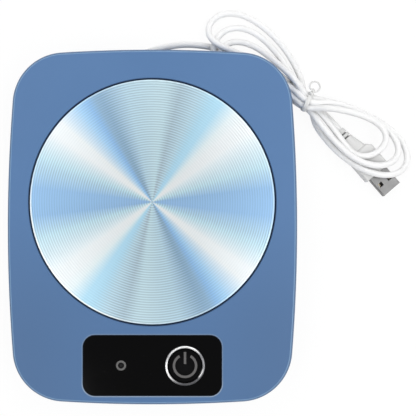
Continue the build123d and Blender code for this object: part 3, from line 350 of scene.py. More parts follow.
pad_felt, surface, place = new_finish("pad_felt", Sheen_Weight=0.2, Sheen_Roughness=0.5)
fibre = place.stretched((1.0, 0.18, 1.0)).noise(pitch=0.0007, detail=6.0)
cross_fibre = place.stretched((0.18, 1.0, 1.0)).noise(pitch=0.0008, detail=6.0)
wool = fibre * 0.5 + cross_fibre * 0.5
wool.step(0.3, 0.7).between(felt_low, felt_high).feed(surface, "Base Color")
(0.85 + 0.12 * wool).feed(surface, "Roughness")
wool.relief(surface, depth=0.0003)
dress(pad_felt, "insulation_pad")

shield_steel, surface, place = new_finish("shield_steel", Metallic=1.0)
spangle = place.stretched((1.0, 1.0, 0.3)).cells(pitch=0.007, output="Color").part("X")
rolling = place.stretched((0.05, 1.0, 1.0)).noise(pitch=0.0009, detail=3.0)
(spangle * 0.7 + rolling * 0.3).between(zinc_low, zinc_high).feed(surface, "Base Color")
(0.26 + 0.2 * spangle + 0.1 * rolling).feed(surface, "Roughness")
rolling.relief(surface, depth=0.00001)
dress(shield_steel, "heat_shield")

fuse_metal, surface, place = new_finish("fuse_metal", Metallic=1.0)
dull = place.noise(pitch=0.0022, detail=4.0)
dull.between(fuse_low, fuse_high).feed(surface, "Base Color")
(0.2 + 0.25 * dull).feed(surface, "Roughness")
place.noise(pitch=0.0005, detail=3.0).relief(surface, depth=0.00002)
dress(fuse_metal, "thermal_fuse", "fuse_clip")

# ------------------------------------------------------------------------------------------------
# Warming plate: aluminium, faced on a lathe, so its top is one fine groove that runs from the rim
# to the middle, then anodised clear. The groove spreads each lamp into a fan across the plate, and
# the colour paints these fans in by bearing as painted reflections, white where the lamps' fans
# fall and bluer between. The groove's lines carry painted shade, painted shade darkens the
# outermost edge, and a painted highlight makes the rim brighter at the front left.

groove_pitch = 0.00137
groove_depth = 0.00003
feed_pitch = 0.0004
plate_radius = plate_half[0]
rim_width = 0.0012
edge_width = 0.0003
# The rim's painted highlight is brightest towards the front-left lamp.
rim_side = (-0.82, -0.57)  # the way in which the rim is brightest
rim_side_from = (0.55, 0.9)  # cosines off that way at which the brightness starts and is full

# The colours of the plate's painted reflections, then of the painted shade in its lines, of its rim
# and the rim's painted highlight, and of the painted shade on its edge.
white = (0.93, 0.98, 1.00)
cool_white = (0.87, 0.97, 1.00)
sky = (0.53, 0.83, 1.00)
azure = (0.46, 0.74, 1.00)
deep_azure = (0.34, 0.60, 0.92)
blue_band = (0.37, 0.61, 0.91)
ice = (0.66, 0.90, 1.00)
pale_ice = (0.71, 0.92, 1.00)
steel = (0.63, 0.85, 0.97)
lead_grey = (0.60, 0.77, 0.87)
dusk = (0.35, 0.54, 0.74)
groove_painted_shade_blue = (0.20, 0.30, 0.38)
rim_dull = (0.72, 0.86, 0.93)
rim_painted_highlight = (0.94, 1.00, 1.00)
edge_painted_shade = (0.20, 0.30, 0.42)

# The colours of the painted reflections, and how strongly the painted shade in the groove's lines
# shows, by bearing in degrees. Both run over half a turn and then come again.
reflection_stops = (
    (0, blue_band),
    (7, blue_band),
    (18, ice),
    (36, white),
    (42, white),
    (47, cool_white),
    (55, sky),
    (60, sky),
    (67, steel),
    (76, lead_grey),
    (82, pale_ice),
    (87, pale_ice),
    (103, steel),
    (116, dusk),
    (119, dusk),
    (123, deep_azure),
    (128, azure),
    (139, white),
    (146, white),
    (158, ice),
    (173, blue_band),
    (180, blue_band),
)
groove_shade_stops = (
    (0, 0.35),
    (14, 0.70),
    (24, 0.50),
    (34, 0.10),
    (57, 0.08),
    (66, 0.60),
    (76, 1.00),
    (84, 0.60),
    (106, 0.70),
    (114, 0.90),
    (120, 0.45),
    (134, 0.25),
    (144, 0.08),
    (154, 0.45),
    (163, 0.75),
    (174, 0.35),
    (180, 0.35),
)

turned, surface, place = new_finish("plate_aluminium", Metallic=1.0)
spot = place.shifted(plate_centre)
radius = spot.radius()
groove = (radius * (2 * math.pi / groove_pitch)).sine() * 0.5 + 0.5
feed_line = radius.node("ShaderNodeCombineXYZ", None, {"X": radius}).noise(feed_pitch, detail=3.0)
half_turns = spot.math("ARCTAN2", spot.part("Y"), spot.part("X")) / math.pi + 1.0
share = half_turns.math("FRACT", half_turns)
# Painted reflections: the colour changes with bearing, white where the lamps' fans fall.
painted_reflection = share.ramp(reflection_stops, 180)
# Painted shade in the groove's lines, stronger at some bearings than at others.
groove_shade_strength = share.ramp([(degrees, (strength,) * 3) for degrees, strength in groove_shade_stops], 180)
painted_groove_shade = (groove * 0.6 + feed_line * 0.4).step(0.2, 0.8) * groove_shade_strength.part("X") * 0.55
face = painted_groove_shade.between(painted_reflection, groove_painted_shade_blue)

# The rim band is paler, and towards the front left it carries a painted highlight.
rim = radius.step(plate_radius - rim_width, plate_radius - 0.4 * rim_width)
facing = (spot.part("X") * rim_side[0] + spot.part("Y") * rim_side[1]) / radius
lit = facing.step(*rim_side_from)
face = (rim * (0.5 + 0.5 * lit)).between(face, lit.between(rim_dull, rim_painted_highlight))
# Painted shade on the plate's outermost edge beside the gap, weaker towards the front left.
painted_edge_lighting = radius.step(plate_radius - edge_width, plate_radius - edge_width / 3)
face = (painted_edge_lighting * (0.8 - 0.6 * lit)).between(face, edge_painted_shade)
face.feed(surface, "Base Color")
(0.35 + 0.08 * feed_line + 0.06 * rim).feed(surface, "Roughness")
(groove * (1.0 - rim) + 0.35 * feed_line).relief(surface, groove_depth)
dress(turned, "heating_plate")


def grained(name, pitch, low, high, rough, spread, depth, detail=3.0, **fixed):
    """A finish with one fine grain, which runs its colour, its roughness and its relief."""
    finish, surface, place = new_finish(name, **fixed)
    grain = place.noise(pitch, detail)
    grain.between(low, high).feed(surface, "Base Color")
    (rough + spread * grain).feed(surface, "Roughness")
    grain.relief(surface, depth)
    return finish


# The seal is silicone; its dark navy colour also stands for the shade in the gap round the plate.
seal_silicone = grained(
    "seal_silicone", pitch=0.0012, low=(0.001, 0.010, 0.034), high=(0.005, 0.024, 0.072),
    rough=0.6, spread=0.2, depth=0.00002, detail=4.0, Specular_IOR_Level=0.3,
)
dress(seal_silicone, "plate_seal")

# ------------------------------------------------------------------------------------------------
# Control board: a green glass-fibre board with soldered parts. Copper tracks show as slightly
# raised, lighter lines under the solder mask. The parts on it, the switch, the wires, the plate's
# sensor and the clamp of the cord are black, white or red plastic.

mask_low = (0.010, 0.085, 0.034)
mask_high = (0.022, 0.125, 0.052)
mask_on_copper = (0.040, 0.200, 0.075)
tracks = {"Scale": 190.0, "Mortar Size": 0.07, "Brick Width": 0.9, "Row Height": 0.35}

board_green, surface, place = new_finish("board_green", IOR=1.5)
bricks = place.node(
    "ShaderNodeTexBrick", {"offset": 0.37, "squash": 1.0}, {"Vector": place, **tracks}, "Fac"
)
weave = place.noise(pitch=0.0009, detail=2.0)
mask = weave.between(mask_low, mask_high)
bricks.between(mask, mask_on_copper).feed(surface, "Base Color")
(0.28 + 0.12 * weave).feed(surface, "Roughness")
(bricks + 0.1 * weave).relief(surface, depth=0.00004)
dress(board_green, "control_board")

part_black = grained(
    "part_black", pitch=0.0005, low=(0.012, 0.012, 0.013), high=(0.032, 0.032, 0.034),
    rough=0.42, spread=0.25, depth=0.00002, IOR=1.5,
)
part_white = grained(
    "part_white", pitch=0.0007, low=(0.68, 0.68, 0.65), high=(0.84, 0.84, 0.82),
    rough=0.38, spread=0.2, depth=0.00002, IOR=1.5,
)
wire_red = grained(
    "wire_red", pitch=0.0011, low=(0.30, 0.010, 0.012), high=(0.48, 0.030, 0.028),
    rough=0.35, spread=0.2, depth=0.00002, IOR=1.5,
)
dress(part_black, "controller_chip", "power_transistor", "chip_resistors", "switch_body")
dress(part_black, "filter_capacitor")
dress(part_white, "board_connectors", "switch_plunger", "cord_clamp", "indicator_led")
dress(part_white, "heater_wires", "plate_sensor")
dress(wire_red, "supply_wires", "sensor_wires")

# ------------------------------------------------------------------------------------------------
# Control panel: a black acrylic plate, polished, with a fine chamfer, let into the cover flush.
# Wiping leaves faint smears and a little dust, and the chamfer carries a bluish painted highlight.
# The small ring on it is grey, inlaid and flush, round a smoked window that is lighter towards
# its middle.

acrylic_black = (0.0020, 0.0020, 0.0022)
dust_grey = (0.016, 0.016, 0.017)
chamfer_painted_highlight = (0.050, 0.070, 0.105)
window_dark = (0.003, 0.003, 0.004)
window_light = (0.018, 0.018, 0.018)
window_centre = seen_from_above("light_pipe")[0]
chamfer_from = (-0.0003, -0.0001)  # metres out from the panel's outline
window_from = (0.0012, 0.0004)  # metres from the window's middle

panel_black, surface, place = new_finish("panel_black", IOR=1.49, Specular_IOR_Level=0.25)
smear = place.noise(pitch=0.018, detail=4.0)
specks = place.cells(pitch=0.0016).step(0.10, 0.03)
dust = specks * place.noise(pitch=0.006, detail=2.0).step(0.56, 0.66)
beyond = place.shifted(panel_centre).rounded_box(panel_half, panel_corner)
# A painted highlight along the chamfer round the panel's outline.
painted_chamfer_highlight = beyond.step(*chamfer_from)
face = dust.between(acrylic_black, dust_grey)
painted_chamfer_highlight.between(face, chamfer_painted_highlight).feed(surface, "Base Color")
(0.06 + 0.06 * smear + 0.3 * dust).feed(surface, "Roughness")
smear.relief(surface, depth=0.00002)
dress(panel_black, "control_panel")

print_grey = grained(
    "print_grey", pitch=0.0005, low=(0.105, 0.103, 0.102), high=(0.140, 0.139, 0.138),
    rough=0.22, spread=0.12, depth=0.000004, IOR=1.5, Specular_IOR_Level=0.35,
)
dress(print_grey, "indicator_ring")

pipe_smoke, surface, place = new_finish("pipe_smoke", IOR=1.58, Specular_IOR_Level=0.3)
# The window's colour is lighter towards its middle.
lighter_middle = place.shifted(window_centre).radius().step(*window_from)
murk = place.noise(pitch=0.0006, detail=3.0)
(lighter_middle * 0.7 + murk * 0.3).between(window_dark, window_light).feed(surface, "Base Color")
(0.08 + 0.06 * murk).feed(surface, "Roughness")
murk.relief(surface, depth=0.000003)
dress(pipe_smoke, "light_pipe")

# ------------------------------------------------------------------------------------------------
# Button: a gloss black cap that slides in a bright plated ring, with a grey power sign let into
# it. The plating's colour carries painted reflections in light and dark arcs, a painted glint
# inside it at the lower right, and painted shade in its bore and on its outer side. The plating has
# a very faint polish, and the cap is a trace duller where it is pressed.

button_centre = seen_from_above("button_bezel")[0]
# The colours of the plating's painted reflections, then of the painted shade in its bore and on its
# outer side, then of its polish.
bright = (0.98, 0.98, 0.98)
middling = (0.50, 0.50, 0.51)
dim = (0.24, 0.24, 0.25)
dark = (0.10, 0.10, 0.11)
bore_painted_shade = (0.060, 0.060, 0.062)
skirt_painted_shade = (0.42, 0.42, 0.43)
polish_grey = (0.80, 0.80, 0.82)

# Where each soft step is 0 and where it is 1: metres from the button's middle for the crown, the
# skirt and the outer side of the painted glint, and turns round it for the painted glint's two
# ends.
crown_from = (0.0096, 0.0100)
skirt_from = (0.0107, 0.0109)
glint_from = (0.875, 0.905)
glint_to = (0.985, 0.945)
glint_within = (0.0103, 0.0098)

# The painted reflections' light and dark arcs on the plating, by bearing in degrees.
ring_reflection_stops = (
    (0, dim),
    (38, dim),
    (58, bright),
    (118, bright),
    (150, middling),
    (180, bright),
    (212, bright),
    (240, dim),
    (260, dark),
    (322, dark),
    (345, dim),
    (360, dim),
)

ring_chrome, surface, place = new_finish("ring_chrome", Metallic=1.0)
polish = place.noise(pitch=0.0009, detail=3.0)
spot = place.shifted(button_centre)
radius = spot.radius()
turns = spot.math("ARCTAN2", spot.part("Y") * -1.0, spot.part("X") * -1.0) / (2 * math.pi) + 0.5
# Painted reflections in light and dark arcs by bearing, painted shade in the bore and on the outer
# side, and a painted glint inside at the lower right.
painted_reflection_arcs = (polish * 0.1).between(turns.ramp(ring_reflection_stops, 360), polish_grey)
inner = radius.step(*crown_from).between(bore_painted_shade, painted_reflection_arcs)
painted_glint = turns.step(*glint_from) * turns.step(*glint_to) * radius.step(*glint_within)
plated = radius.step(*skirt_from).between(painted_glint.between(inner, bright), skirt_painted_shade)
plated.feed(surface, "Base Color")
(0.34 + 0.06 * polish).feed(surface, "Roughness")
polish.relief(surface, depth=0.0000005)
dress(ring_chrome, "button_bezel")

cap_black = (0.0020, 0.0020, 0.0022)
cap_worn = (0.0055, 0.0055, 0.0060)
sign_grey = (0.118, 0.114, 0.113)
sign_radius = 0.00607
sign_stroke = 0.0013
stroke_edge = (0.6 * sign_stroke, 0.4 * sign_stroke)
sign_spread = 1.73  # the opening's rise for each step aside
spread_from = (-0.0001, 0.0002)
bar_middle = 0.0043
bar_half = 0.0033
bar_end = (bar_half + 0.0001, bar_half - 0.0001)
pressed_from = (0.0085, 0.002)

button_black, surface, place = new_finish("button_black", IOR=1.49, Specular_IOR_Level=0.25)
spot = place.shifted(button_centre)
pressed = spot.radius().step(*pressed_from)
smear = place.noise(pitch=0.004, detail=4.0)
arc = (spot.radius() - sign_radius).size().step(*stroke_edge)
opening = (spot.part("Y") - spot.part("X").size() * sign_spread).step(*spread_from)
bar = spot.part("X").size().step(*stroke_edge)
bar = bar * (spot.part("Y") - bar_middle).size().step(*bar_end)
sign = bar.math("MAXIMUM", arc * (1.0 - opening), bar)
gloss = (pressed * 0.5 + smear * 0.3).between(cap_black, cap_worn)
sign.between(gloss, sign_grey).feed(surface, "Base Color")
(0.06 + 0.05 * smear + 0.06 * pressed + 0.14 * sign).feed(surface, "Roughness")
smear.relief(surface, depth=0.000006)
dress(button_black, "button_cap", "button_icon")

# ------------------------------------------------------------------------------------------------
# Cord: one white PVC cord, 3.6 mm thick and about 1 m long. It leaves the bush at the rear, lies
# along the housing's rear edge, and is folded into a hank of six lobes, three on each side of a
# tie. Its strands lie on the table or on each other, and its end goes into the plug.

cord_diameter = 0.0036
cord_exit = (-0.0160, 0.08643, 0.0050)
strand_step = 0.0031
tie_middle = np.array((0.0870, 0.0710))
tie_turn = math.radians(-25.0)
tie_along = np.array((math.cos(tie_turn), math.sin(tie_turn)))
tie_across = np.array((-math.sin(tie_turn), math.cos(tie_turn)))
pass_half = 0.0035
fade_length = 0.014
root_length = 0.012
points_per_lobe = 14
plug_tip = (0.1355, 0.0211, 0.0040)
plug_turn = math.radians(-49.0)
relief_end = 0.0450
tail_straight = 0.0060
pvc_low = (0.80, 0.80, 0.80)
pvc_high = (0.88, 0.88, 0.88)

# A strand on layer 0 lies on the table, on layer 1 on one other strand, and so on. Where each
# strand passes through the tie: sideways, in strand steps, and its layer.
passes = {
    "first": (-1, 1.85),
    "outer_1": (0, 1.35),
    "inner_1": (0, 2.35),
    "inner_2": (-1, 0.85),
    "outer_2": (1, 1.85),
    "inner_3": (0, 0.35),
    "last": (1, 0.85),
}

# One row for each lobe, in the order of the cord: the passes that it joins, and its sense of turn;
# then its direction in degrees, reach, half width, fullness at the tip, bend, squeeze and slant,
# with the lengths in mm; then its layer at eight even steps from the tie round and back. These
# numbers were fitted outside this script, rounded, and a few of the layers changed.
lobes = (
    ("first", "outer_1", 1, (-26, 49.0, 8.5, 0.6, -7.0, 0.5, -5.5),
     (3.5, 2.25, 1.75, 2.0, 2.25, 2.0, 1.75, 1.25)),
    ("outer_1", "inner_1", -1, (124, 59.0, 9.0, 0.3, 22.5, 0.4, 6.5),
     (1.0, 0.0, 0.0, 0.5, 1.25, 0.0, 0.5, 1.75)),
    ("inner_1", "inner_2", 1, (-28, 59.0, 9.5, 0.4, -7.5, 0.75, -7.5),
     (2.25, 1.0, 0.75, 1.25, 2.5, 3.0, 2.5, 2.0)),
    ("inner_2", "outer_2", 1, (136, 56.0, 9.0, 1.3, 13.0, 0.75, 4.5),
     (0.0, 0.0, 0.75, 1.25, 0.75, 0.0, 0.5, 3.0)),
    ("outer_2", "inner_3", 1, (-32.5, 67.5, 14.0, 1.4, -3.0, 1.3, -6.0),
     (0.75, 0.0, 0.0, 0.25, 1.75, 2.25, 1.25, 0.0)),
    ("inner_3", "last", 1, (107.5, 60.5, 7.5, 0.1, 38.5, 0.4, 10.0),
     (0.0, 0.75, 2.25, 1.25, 0.0, 0.0, 0.0, 0.25)),
)


def layer_height(layer):
    """Height of a strand's middle on a layer: half a cord, and a whole cord for each layer."""
    return cord_diameter * (0.5 + layer)


def lobe_points(sizes, sense, start, end, layers):
    """One lobe of the hank, out from the tie and back, as an array of points in metres.

    The angle runs once round. The share is half of one minus its cosine. The way out is the reach
    times the share to the power of the squeeze. The way aside is one and a half times the half
    width, times the angle's sine, times the sine of half of it to the power of the fullness. The
    bend adds itself times the square of the way out over the reach, and the slant leans the lobe
    over. Near the tie, each strand is drawn across to its own pass. The height runs straight from
    each of the layers to the next.
    """
    direction, reach, half, fullness, bend, squeeze, slant = sizes
    reach, half, bend, slant = (0.001 * size for size in (reach, half, bend, slant))
    first = math.acos(1 - 2 * (root_length / reach) ** (1 / squeeze))
    angle = np.linspace(first, 2 * math.pi - first, points_per_lobe)
    share = (1 - np.cos(angle)) / 2
    out = reach * share ** squeeze
    side = sense * 1.5 * half * np.sin(angle) * np.sin(angle / 2) ** fullness
    side = side + bend * (out / reach) ** 2
    out = out - sense * slant * np.sin(angle) * share
    strand = np.where(angle < math.pi, passes[start][0], passes[end][0]) * strand_step
    turn = math.radians(direction)
    axis = (math.cos(turn), math.sin(turn))
    cross = (-math.sin(turn), math.cos(turn))
    flat = tie_middle + np.outer(out, axis) + np.outer(side, cross)
    flat = flat + np.outer(strand * np.exp(-out / fade_length), tie_across)
    steps = np.linspace(0, len(layers) - 1, points_per_lobe)
    layer = np.interp(steps, range(len(layers)), layers)
    return np.column_stack((flat, layer_height(layer)))


def pass_points(name, heading):
    """The two points of one strand's straight pass through the tie, in the way it is heading."""
    sideways, layer = passes[name]
    middle = tie_middle + tie_across * sideways * strand_step
    ends = [middle - tie_along * pass_half * heading, middle + tie_along * pass_half * heading]
    return [(*end, layer_height(layer)) for end in ends]


def behind_tip(distance):
    """The point on the plug's middle line that is this far back from its tip."""
    return (
        plug_tip[0] - distance * math.cos(plug_turn),
        plug_tip[1] - distance * math.sin(plug_turn),
        plug_tip[2],
    )


# The stretch along the rear edge, from the bush to the tie.
lead_points = [
    cord_exit,
    (-0.0160, 0.0904, 0.0050),
    (-0.0144, 0.0949, 0.0042),
    (-0.0108, 0.0981, 0.0030),
    (-0.0036, 0.1006, 0.0022),
    (0.0060, 0.1032, 0.0018),
    (0.0180, 0.1051, 0.0018),
    (0.0340, 0.1032, 0.0018),
    (0.0420, 0.1002, 0.0018),
    (0.0530, 0.0940, 0.0018),
    (0.0640, 0.0880, 0.0018),
    (0.0730, 0.0810, 0.0047),
]

# The last stretch, from the tie into the plug's strain relief.
tail_points = [
    (0.0965, 0.0653, 0.0030),
    behind_tip(relief_end + tail_straight),
    behind_tip(relief_end),
]

route = list(lead_points)
for start, end, sense, sizes, layers in lobes:
    to_the_right = 1 if abs(sizes[0]) < 90.0 else -1
    route += pass_points(start, to_the_right)
    route += [tuple(point) for point in lobe_points(sizes, sense, start, end, layers)]
route += pass_points("last", 1) + tail_points

cord_line = bpy.data.curves.new("cord", "CURVE")
cord_line.dimensions = "3D"
cord_line.bevel_depth = cord_diameter / 2
cord_line.bevel_resolution = 5
cord_line.use_fill_caps = True
strand = cord_line.splines.new("NURBS")
strand.points.add(len(route) - 1)
strand.points.foreach_set("co", np.column_stack((route, np.ones(len(route)))).ravel())
strand.order_u = 3
strand.use_endpoint_u = True
strand.resolution_u = 10
cord = bpy.data.objects.new("cord", cord_line)
bpy.context.scene.collection.objects.link(cord)

cord_white, surface, place = new_finish("cord_white", IOR=1.5, Specular_IOR_Level=0.4)
cloud = place.noise(pitch=0.009, detail=4.0)
grain = place.noise(pitch=0.0006, detail=3.0)
(cloud * 0.7 + grain * 0.3).between(pvc_low, pvc_high).feed(surface, "Base Color")
(0.42 + 0.16 * grain + 0.08 * cloud).feed(surface, "Roughness")
grain.relief(surface, depth=0.000012)
cord_line.materials.append(cord_white)
dress(cord_white, "cord_bush", "inner_cord")

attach(cord, "housing")
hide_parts("cord_lead", "cord_hank", "cord_tail")

# ------------------------------------------------------------------------------------------------
# Tie: a flat white plastic ribbon with a wire core, wrapped once round the seven strands. Its two
# ends are twisted together on top and bent over into a small loop.

ribbon_width = 0.0024
ribbon_thickness = 0.0007
ribbon_core = 0.00055
wrap_half_width = 0.0054
wrap_low = 0.0009
wrap_high = 0.0125
wrap_squareness = 0.85


def carried_profile(name, path, across, up, profile):
    """A closed profile carried along a path, with flat caps where the path is open.

    Each ring is the path's point, plus the profile's first number times the across direction
    there, plus its second number times the up direction there.
    """
    rings = path[:, None, :] + profile[None, :, 0, None] * across[:, None, :]
    rings = rings + profile[None, :, 1, None] * up[:, None, :]
    turns, corners = rings.shape[:2]
    closed = np.allclose(path[0], path[-1])
    if closed:
        rings = rings[:-1]
        turns = turns - 1
    here = np.arange(turns if closed else turns - 1)[:, None] * corners + np.arange(corners)
    beside = np.roll(np.arange(corners), -1)
    along = (np.arange(len(here)) + 1) % turns
    there = along[:, None] * corners + np.arange(corners)
    faces = np.stack((here, here[:, beside], there[:, beside], there), axis=-1).reshape(-1, 4)
    faces = faces.tolist()
    if not closed:
        faces.append(list(range(corners))[::-1])
        faces.append(list(range((turns - 1) * corners, turns * corners)))
    mesh = bpy.data.meshes.new(name)
    mesh.from_pydata(rings.reshape(-1, 3).tolist(), [], faces)
    mesh.update()
    mesh.shade_smooth()
    piece = bpy.data.objects.new(name, mesh)
    bpy.context.scene.collection.objects.link(piece)
    return piece


def round_profile(diameter, corners=12):
    """A circle of that diameter, as the cosine and sine of evenly spaced angles."""
    angle = np.linspace(0, 2 * math.pi, corners, endpoint=False)
    return 0.5 * diameter * np.column_stack((np.cos(angle), np.sin(angle)))


def squared(wave):
    """A sine or cosine with its size raised to a power under one, which fills a circle out."""
    return np.sign(wave) * np.abs(wave) ** wrap_squareness


def beside_tie(along, across, height):
    """A path in the tie's own directions: along its strands and across them from its middle."""
    flat = tie_middle + np.outer(along, tie_along) + np.outer(across, tie_across)
    return np.column_stack((flat, height))


# The ribbon's wrap is a squared ellipse in the upright plane across the strands.
wrap_angle = np.linspace(0, 2 * math.pi, 73)
wrap_half_height = (wrap_high - wrap_low) / 2
wrap_path = beside_tie(
    np.zeros(len(wrap_angle)),
    wrap_half_width * squared(np.cos(wrap_angle)),
    wrap_low + wrap_half_height * (1.0 + squared(np.sin(wrap_angle))),
)
wrap_path[-1] = wrap_path[0]
wrap_turn = np.gradient(wrap_path, axis=0)
wrap_turn[0] = wrap_turn[-1] = wrap_path[1] - wrap_path[-2]
wrap_width = np.broadcast_to(np.array((*tie_along, 0.0)), wrap_path.shape)
wrap_out = np.cross(wrap_width, wrap_turn)
wrap_out /= np.linalg.norm(wrap_out, axis=1)[:, None]

# Half of the ribbon's section is half its thickness, and over the wire it bulges to the core.
across_ribbon = np.linspace(-0.5, 0.5, 11) * ribbon_width
core_share = np.exp(-((across_ribbon / ribbon_core) ** 2))
bulge = ribbon_thickness / 2 + (ribbon_core - ribbon_thickness / 2) * core_share
ribbon_section = np.vstack((
    np.column_stack((across_ribbon, -bulge)),
    np.column_stack((across_ribbon[::-1], bulge[::-1])),
))
tie_wrap = carried_profile("tie_wrap", wrap_path, wrap_width, wrap_out, ribbon_section)

tie_white = grained(
    "tie_white", pitch=0.0008, low=(0.65, 0.65, 0.64), high=(0.76, 0.76, 0.75),
    rough=0.36, spread=0.2, depth=0.00002, detail=4.0, IOR=1.5,
)

# The loop: one bent-over end makes nearly a full turn and tucks in, lying on the other end.
loop_wire = 0.0010
loop_radius = 0.0029
loop_out = 0.00815
loop_height = 0.0128
loop_rise = 0.0004
loop_start = math.radians(-75.0)
loop_end = math.radians(262.0)
tuck_start = math.radians(205.0)
tuck_depth = 0.55
loop_angle = np.linspace(loop_start, loop_end, 61)
tuck = np.clip((loop_angle - tuck_start) / (loop_end - tuck_start), 0.0, 1.0) ** 2
loop_reach = loop_radius * (1.0 - tuck_depth * tuck)
loop_path = beside_tie(
    loop_reach * np.cos(loop_angle),
    loop_out + loop_reach * np.sin(loop_angle),
    loop_height + loop_rise * np.sin(loop_angle / 2),
)

# The twisted pair: two wires turn round each other from the wrap's top out to the loop.
pair_start = 0.0030
pair_run = 0.0036
pair_below_loop = 0.0001
pair_fall = 0.0003
pair_sway = 0.00055
pair_rise = 0.0005
pair_share = np.linspace(0.0, 1.0, 41)
pair_side = pair_start + pair_run * pair_share
pair_height = loop_height - pair_below_loop - pair_fall * pair_share


def wire_frame(path):
    """Directions across and up a wire: square to its run, the first one kept level."""
    run = np.gradient(path, axis=0)
    run = run / np.linalg.norm(run, axis=1)[:, None]
    level = np.cross(run, (0.0, 0.0, 1.0))
    level = level / np.linalg.norm(level, axis=1)[:, None]
    return level, np.cross(level, run)


tie_pieces = [tie_wrap]
wires = {"tie_loop": loop_path}
for name, start in (("tie_twist_1", 0.0), ("tie_twist_2", math.pi)):
    turn = start + 2.0 * math.pi * pair_share
    sway = pair_sway * np.cos(turn)
    wires[name] = beside_tie(sway, pair_side, pair_height + pair_rise * np.sin(turn))
for name, path in wires.items():
    level, up = wire_frame(path)
    tie_pieces.append(carried_profile(name, path, level, up, round_profile(loop_wire)))
for piece in tie_pieces:
    piece.data.materials.append(tie_white)
    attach(piece, "housing")
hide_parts("cord_tie")

# ------------------------------------------------------------------------------------------------
# Plug: a USB-A plug. Soft grey-white PVC is moulded over its cable end, with grooves for bending,
# which carry painted shade. The folded steel shell has windows, and holds a tongue with four
# contacts.

plug_grooves = (0.0394, 0.0419)  # metres back from the plug's tip
groove_from = (0.0006, 0.0003)  # metres from a groove's middle
grip_low = (0.58, 0.58, 0.58)
grip_high = (0.69, 0.69, 0.68)
groove_painted_shade = (0.22, 0.22, 0.22)
shell_low = (0.18, 0.18, 0.18)
shell_high = (0.28, 0.28, 0.28)

plug_grey, surface, place = new_finish("plug_grey", IOR=1.5, Specular_IOR_Level=0.4)
grain = place.noise(pitch=0.0006, detail=3.0)
cloud = place.noise(pitch=0.007, detail=3.0)
spot = place.shifted(plug_tip)
back = spot.part("X") * -math.cos(plug_turn) - spot.part("Y") * math.sin(plug_turn)
# Painted shade in the two grooves for bending.
first, second = ((back - middle).size().step(*groove_from) for middle in plug_grooves)
skin = (cloud * 0.5 + grain * 0.5).between(grip_low, grip_high)
(first + second).between(skin, groove_painted_shade).feed(surface, "Base Color")
(0.50 + 0.2 * grain).feed(surface, "Roughness")
grain.relief(surface, depth=0.00002)
dress(plug_grey, "usb_overmould")

shell_steel, surface, place = new_finish("shell_steel", Metallic=1.0)
brushed = place.stretched((1.0, 1.0, 4.0)).noise(pitch=0.0007, detail=4.0)
cloud = place.noise(pitch=0.004, detail=2.0)
cloud.between(shell_low, shell_high).feed(surface, "Base Color")
(0.26 + 0.2 * brushed).feed(surface, "Roughness")
brushed.relief(surface, depth=0.00001)
dress(shell_steel, "usb_shell")

contact_brass = grained(
    "contact_brass", pitch=0.0008, low=(0.20, 0.17, 0.12), high=(0.34, 0.30, 0.22),
    rough=0.16, spread=0.2, depth=0.00001, detail=4.0, Metallic=1.0,
)
dress(contact_brass, "usb_contacts")
dress(part_black, "usb_tongue")

# ------------------------------------------------------------------------------------------------
# Studio: a pale floor, a soft sky that is darker overhead, a soft box at each corner and a low one
# at the rear, and the camera straight above.

floor_half = 3.0
floor_low = (0.93, 0.93, 0.93)
floor_high = (0.95, 0.95, 0.95)
floor_glow = 0.93
white_light = (1.0, 1.0, 1.0, 1.0)
sky_overhead = 0.12
sky_at_side = 0.35
sky_from = (1.0, 0.3)
lamp_distance = 1.0
camera_place = (0.0306, 0.01047, 0.4015)

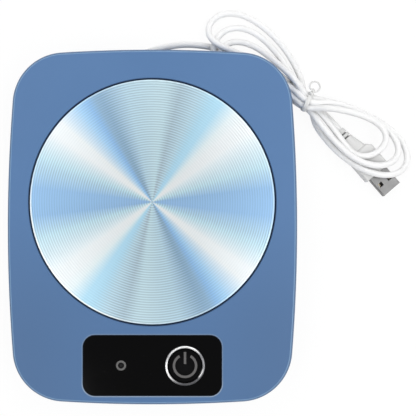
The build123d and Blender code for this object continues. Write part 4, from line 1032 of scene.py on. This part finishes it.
corners = ((-1.0, -1.0), (1.0, -1.0), (1.0, 1.0), (-1.0, 1.0))
floor_points = [(x * floor_half, y * floor_half, 0.0) for x, y in corners]
floor_mesh = bpy.data.meshes.new("floor")
floor_mesh.from_pydata(floor_points, [], [(0, 1, 2, 3)])
floor = bpy.data.objects.new("floor", floor_mesh)
bpy.context.scene.collection.objects.link(floor)
floor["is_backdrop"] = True
floor_paint, surface, place = new_finish("floor_paint", Roughness=0.9, Specular_IOR_Level=0.0)
place.noise(pitch=0.02, detail=3.0).between(floor_low, floor_high).feed(surface, "Base Color")
tree = floor_paint.node_tree
glow = tree.nodes.new("ShaderNodeEmission")
glow.inputs["Color"].default_value = white_light
glow.inputs["Strength"].default_value = 1.0
ray = tree.nodes.new("ShaderNodeLightPath")
seen = Shade(tree, ray.outputs["Is Camera Ray"]) * floor_glow
mixed = seen.node(
    "ShaderNodeMixShader",
    None,
    {0: seen, 1: Shade(tree, surface.outputs[0]), 2: Shade(tree, glow.outputs[0])},
)
tree.links.new(mixed.socket, tree.nodes["Material Output"].inputs["Surface"])
floor_mesh.materials.append(floor_paint)

studio = bpy.data.worlds.new("studio")
studio.use_nodes = True
bpy.context.scene.world = studio
tree = studio.node_tree
sky_place = tree.nodes.new("ShaderNodeTexCoord")
height = Shade(tree, sky_place.outputs["Generated"]).part("Z")
ray = tree.nodes.new("ShaderNodeLightPath")
seen = Shade(tree, ray.outputs["Is Camera Ray"])
level = height.step(*sky_from) * sky_at_side + sky_overhead
strength = seen + (1.0 - seen) * level
tree.links.new(strength.socket, tree.nodes["Background"].inputs["Strength"])
tree.nodes["Background"].inputs["Color"].default_value = white_light

# A lamp's bearing and rise are in degrees, its size is in metres, and its power in watts.
for name, bearing, rise, size, power in (
    ("rear_right", 43.0, 55.0, 0.50, 2.65),
    ("rear_left", 141.0, 55.0, 0.50, 1.8),
    ("front_left", 215.0, 54.0, 0.52, 2.25),
    ("front_right", 328.0, 55.0, 0.60, 3.9),
    ("rear", 90.0, 34.0, 0.45, 1.4),
):
    around = math.radians(bearing)
    upward = math.radians(rise)
    lamp = bpy.data.lights.new("soft_box_" + name, "AREA")
    lamp.size = size
    lamp.energy = power
    box = bpy.data.objects.new("soft_box_" + name, lamp)
    bpy.context.scene.collection.objects.link(box)
    box.location = (
        lamp_distance * math.cos(upward) * math.cos(around),
        lamp_distance * math.cos(upward) * math.sin(around),
        lamp_distance * math.sin(upward),
    )
    box.rotation_euler = (math.pi / 2 - upward, 0.0, around + math.pi / 2)

camera_data = bpy.data.cameras.new("camera")
camera_data.lens = 60.0
camera_data.sensor_width = 36.0
camera_data.clip_start = 0.01
camera = bpy.data.objects.new("camera", camera_data)
bpy.context.scene.collection.objects.link(camera)
camera.location = camera_place
bpy.context.scene.camera = camera
bpy.context.scene.view_settings.view_transform = "Standard"

own_low, own_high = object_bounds()
sizes = {
    "cad": [list(cad_low), list(cad_high)],
    "visual": [list(own_low), list(own_high)],
}
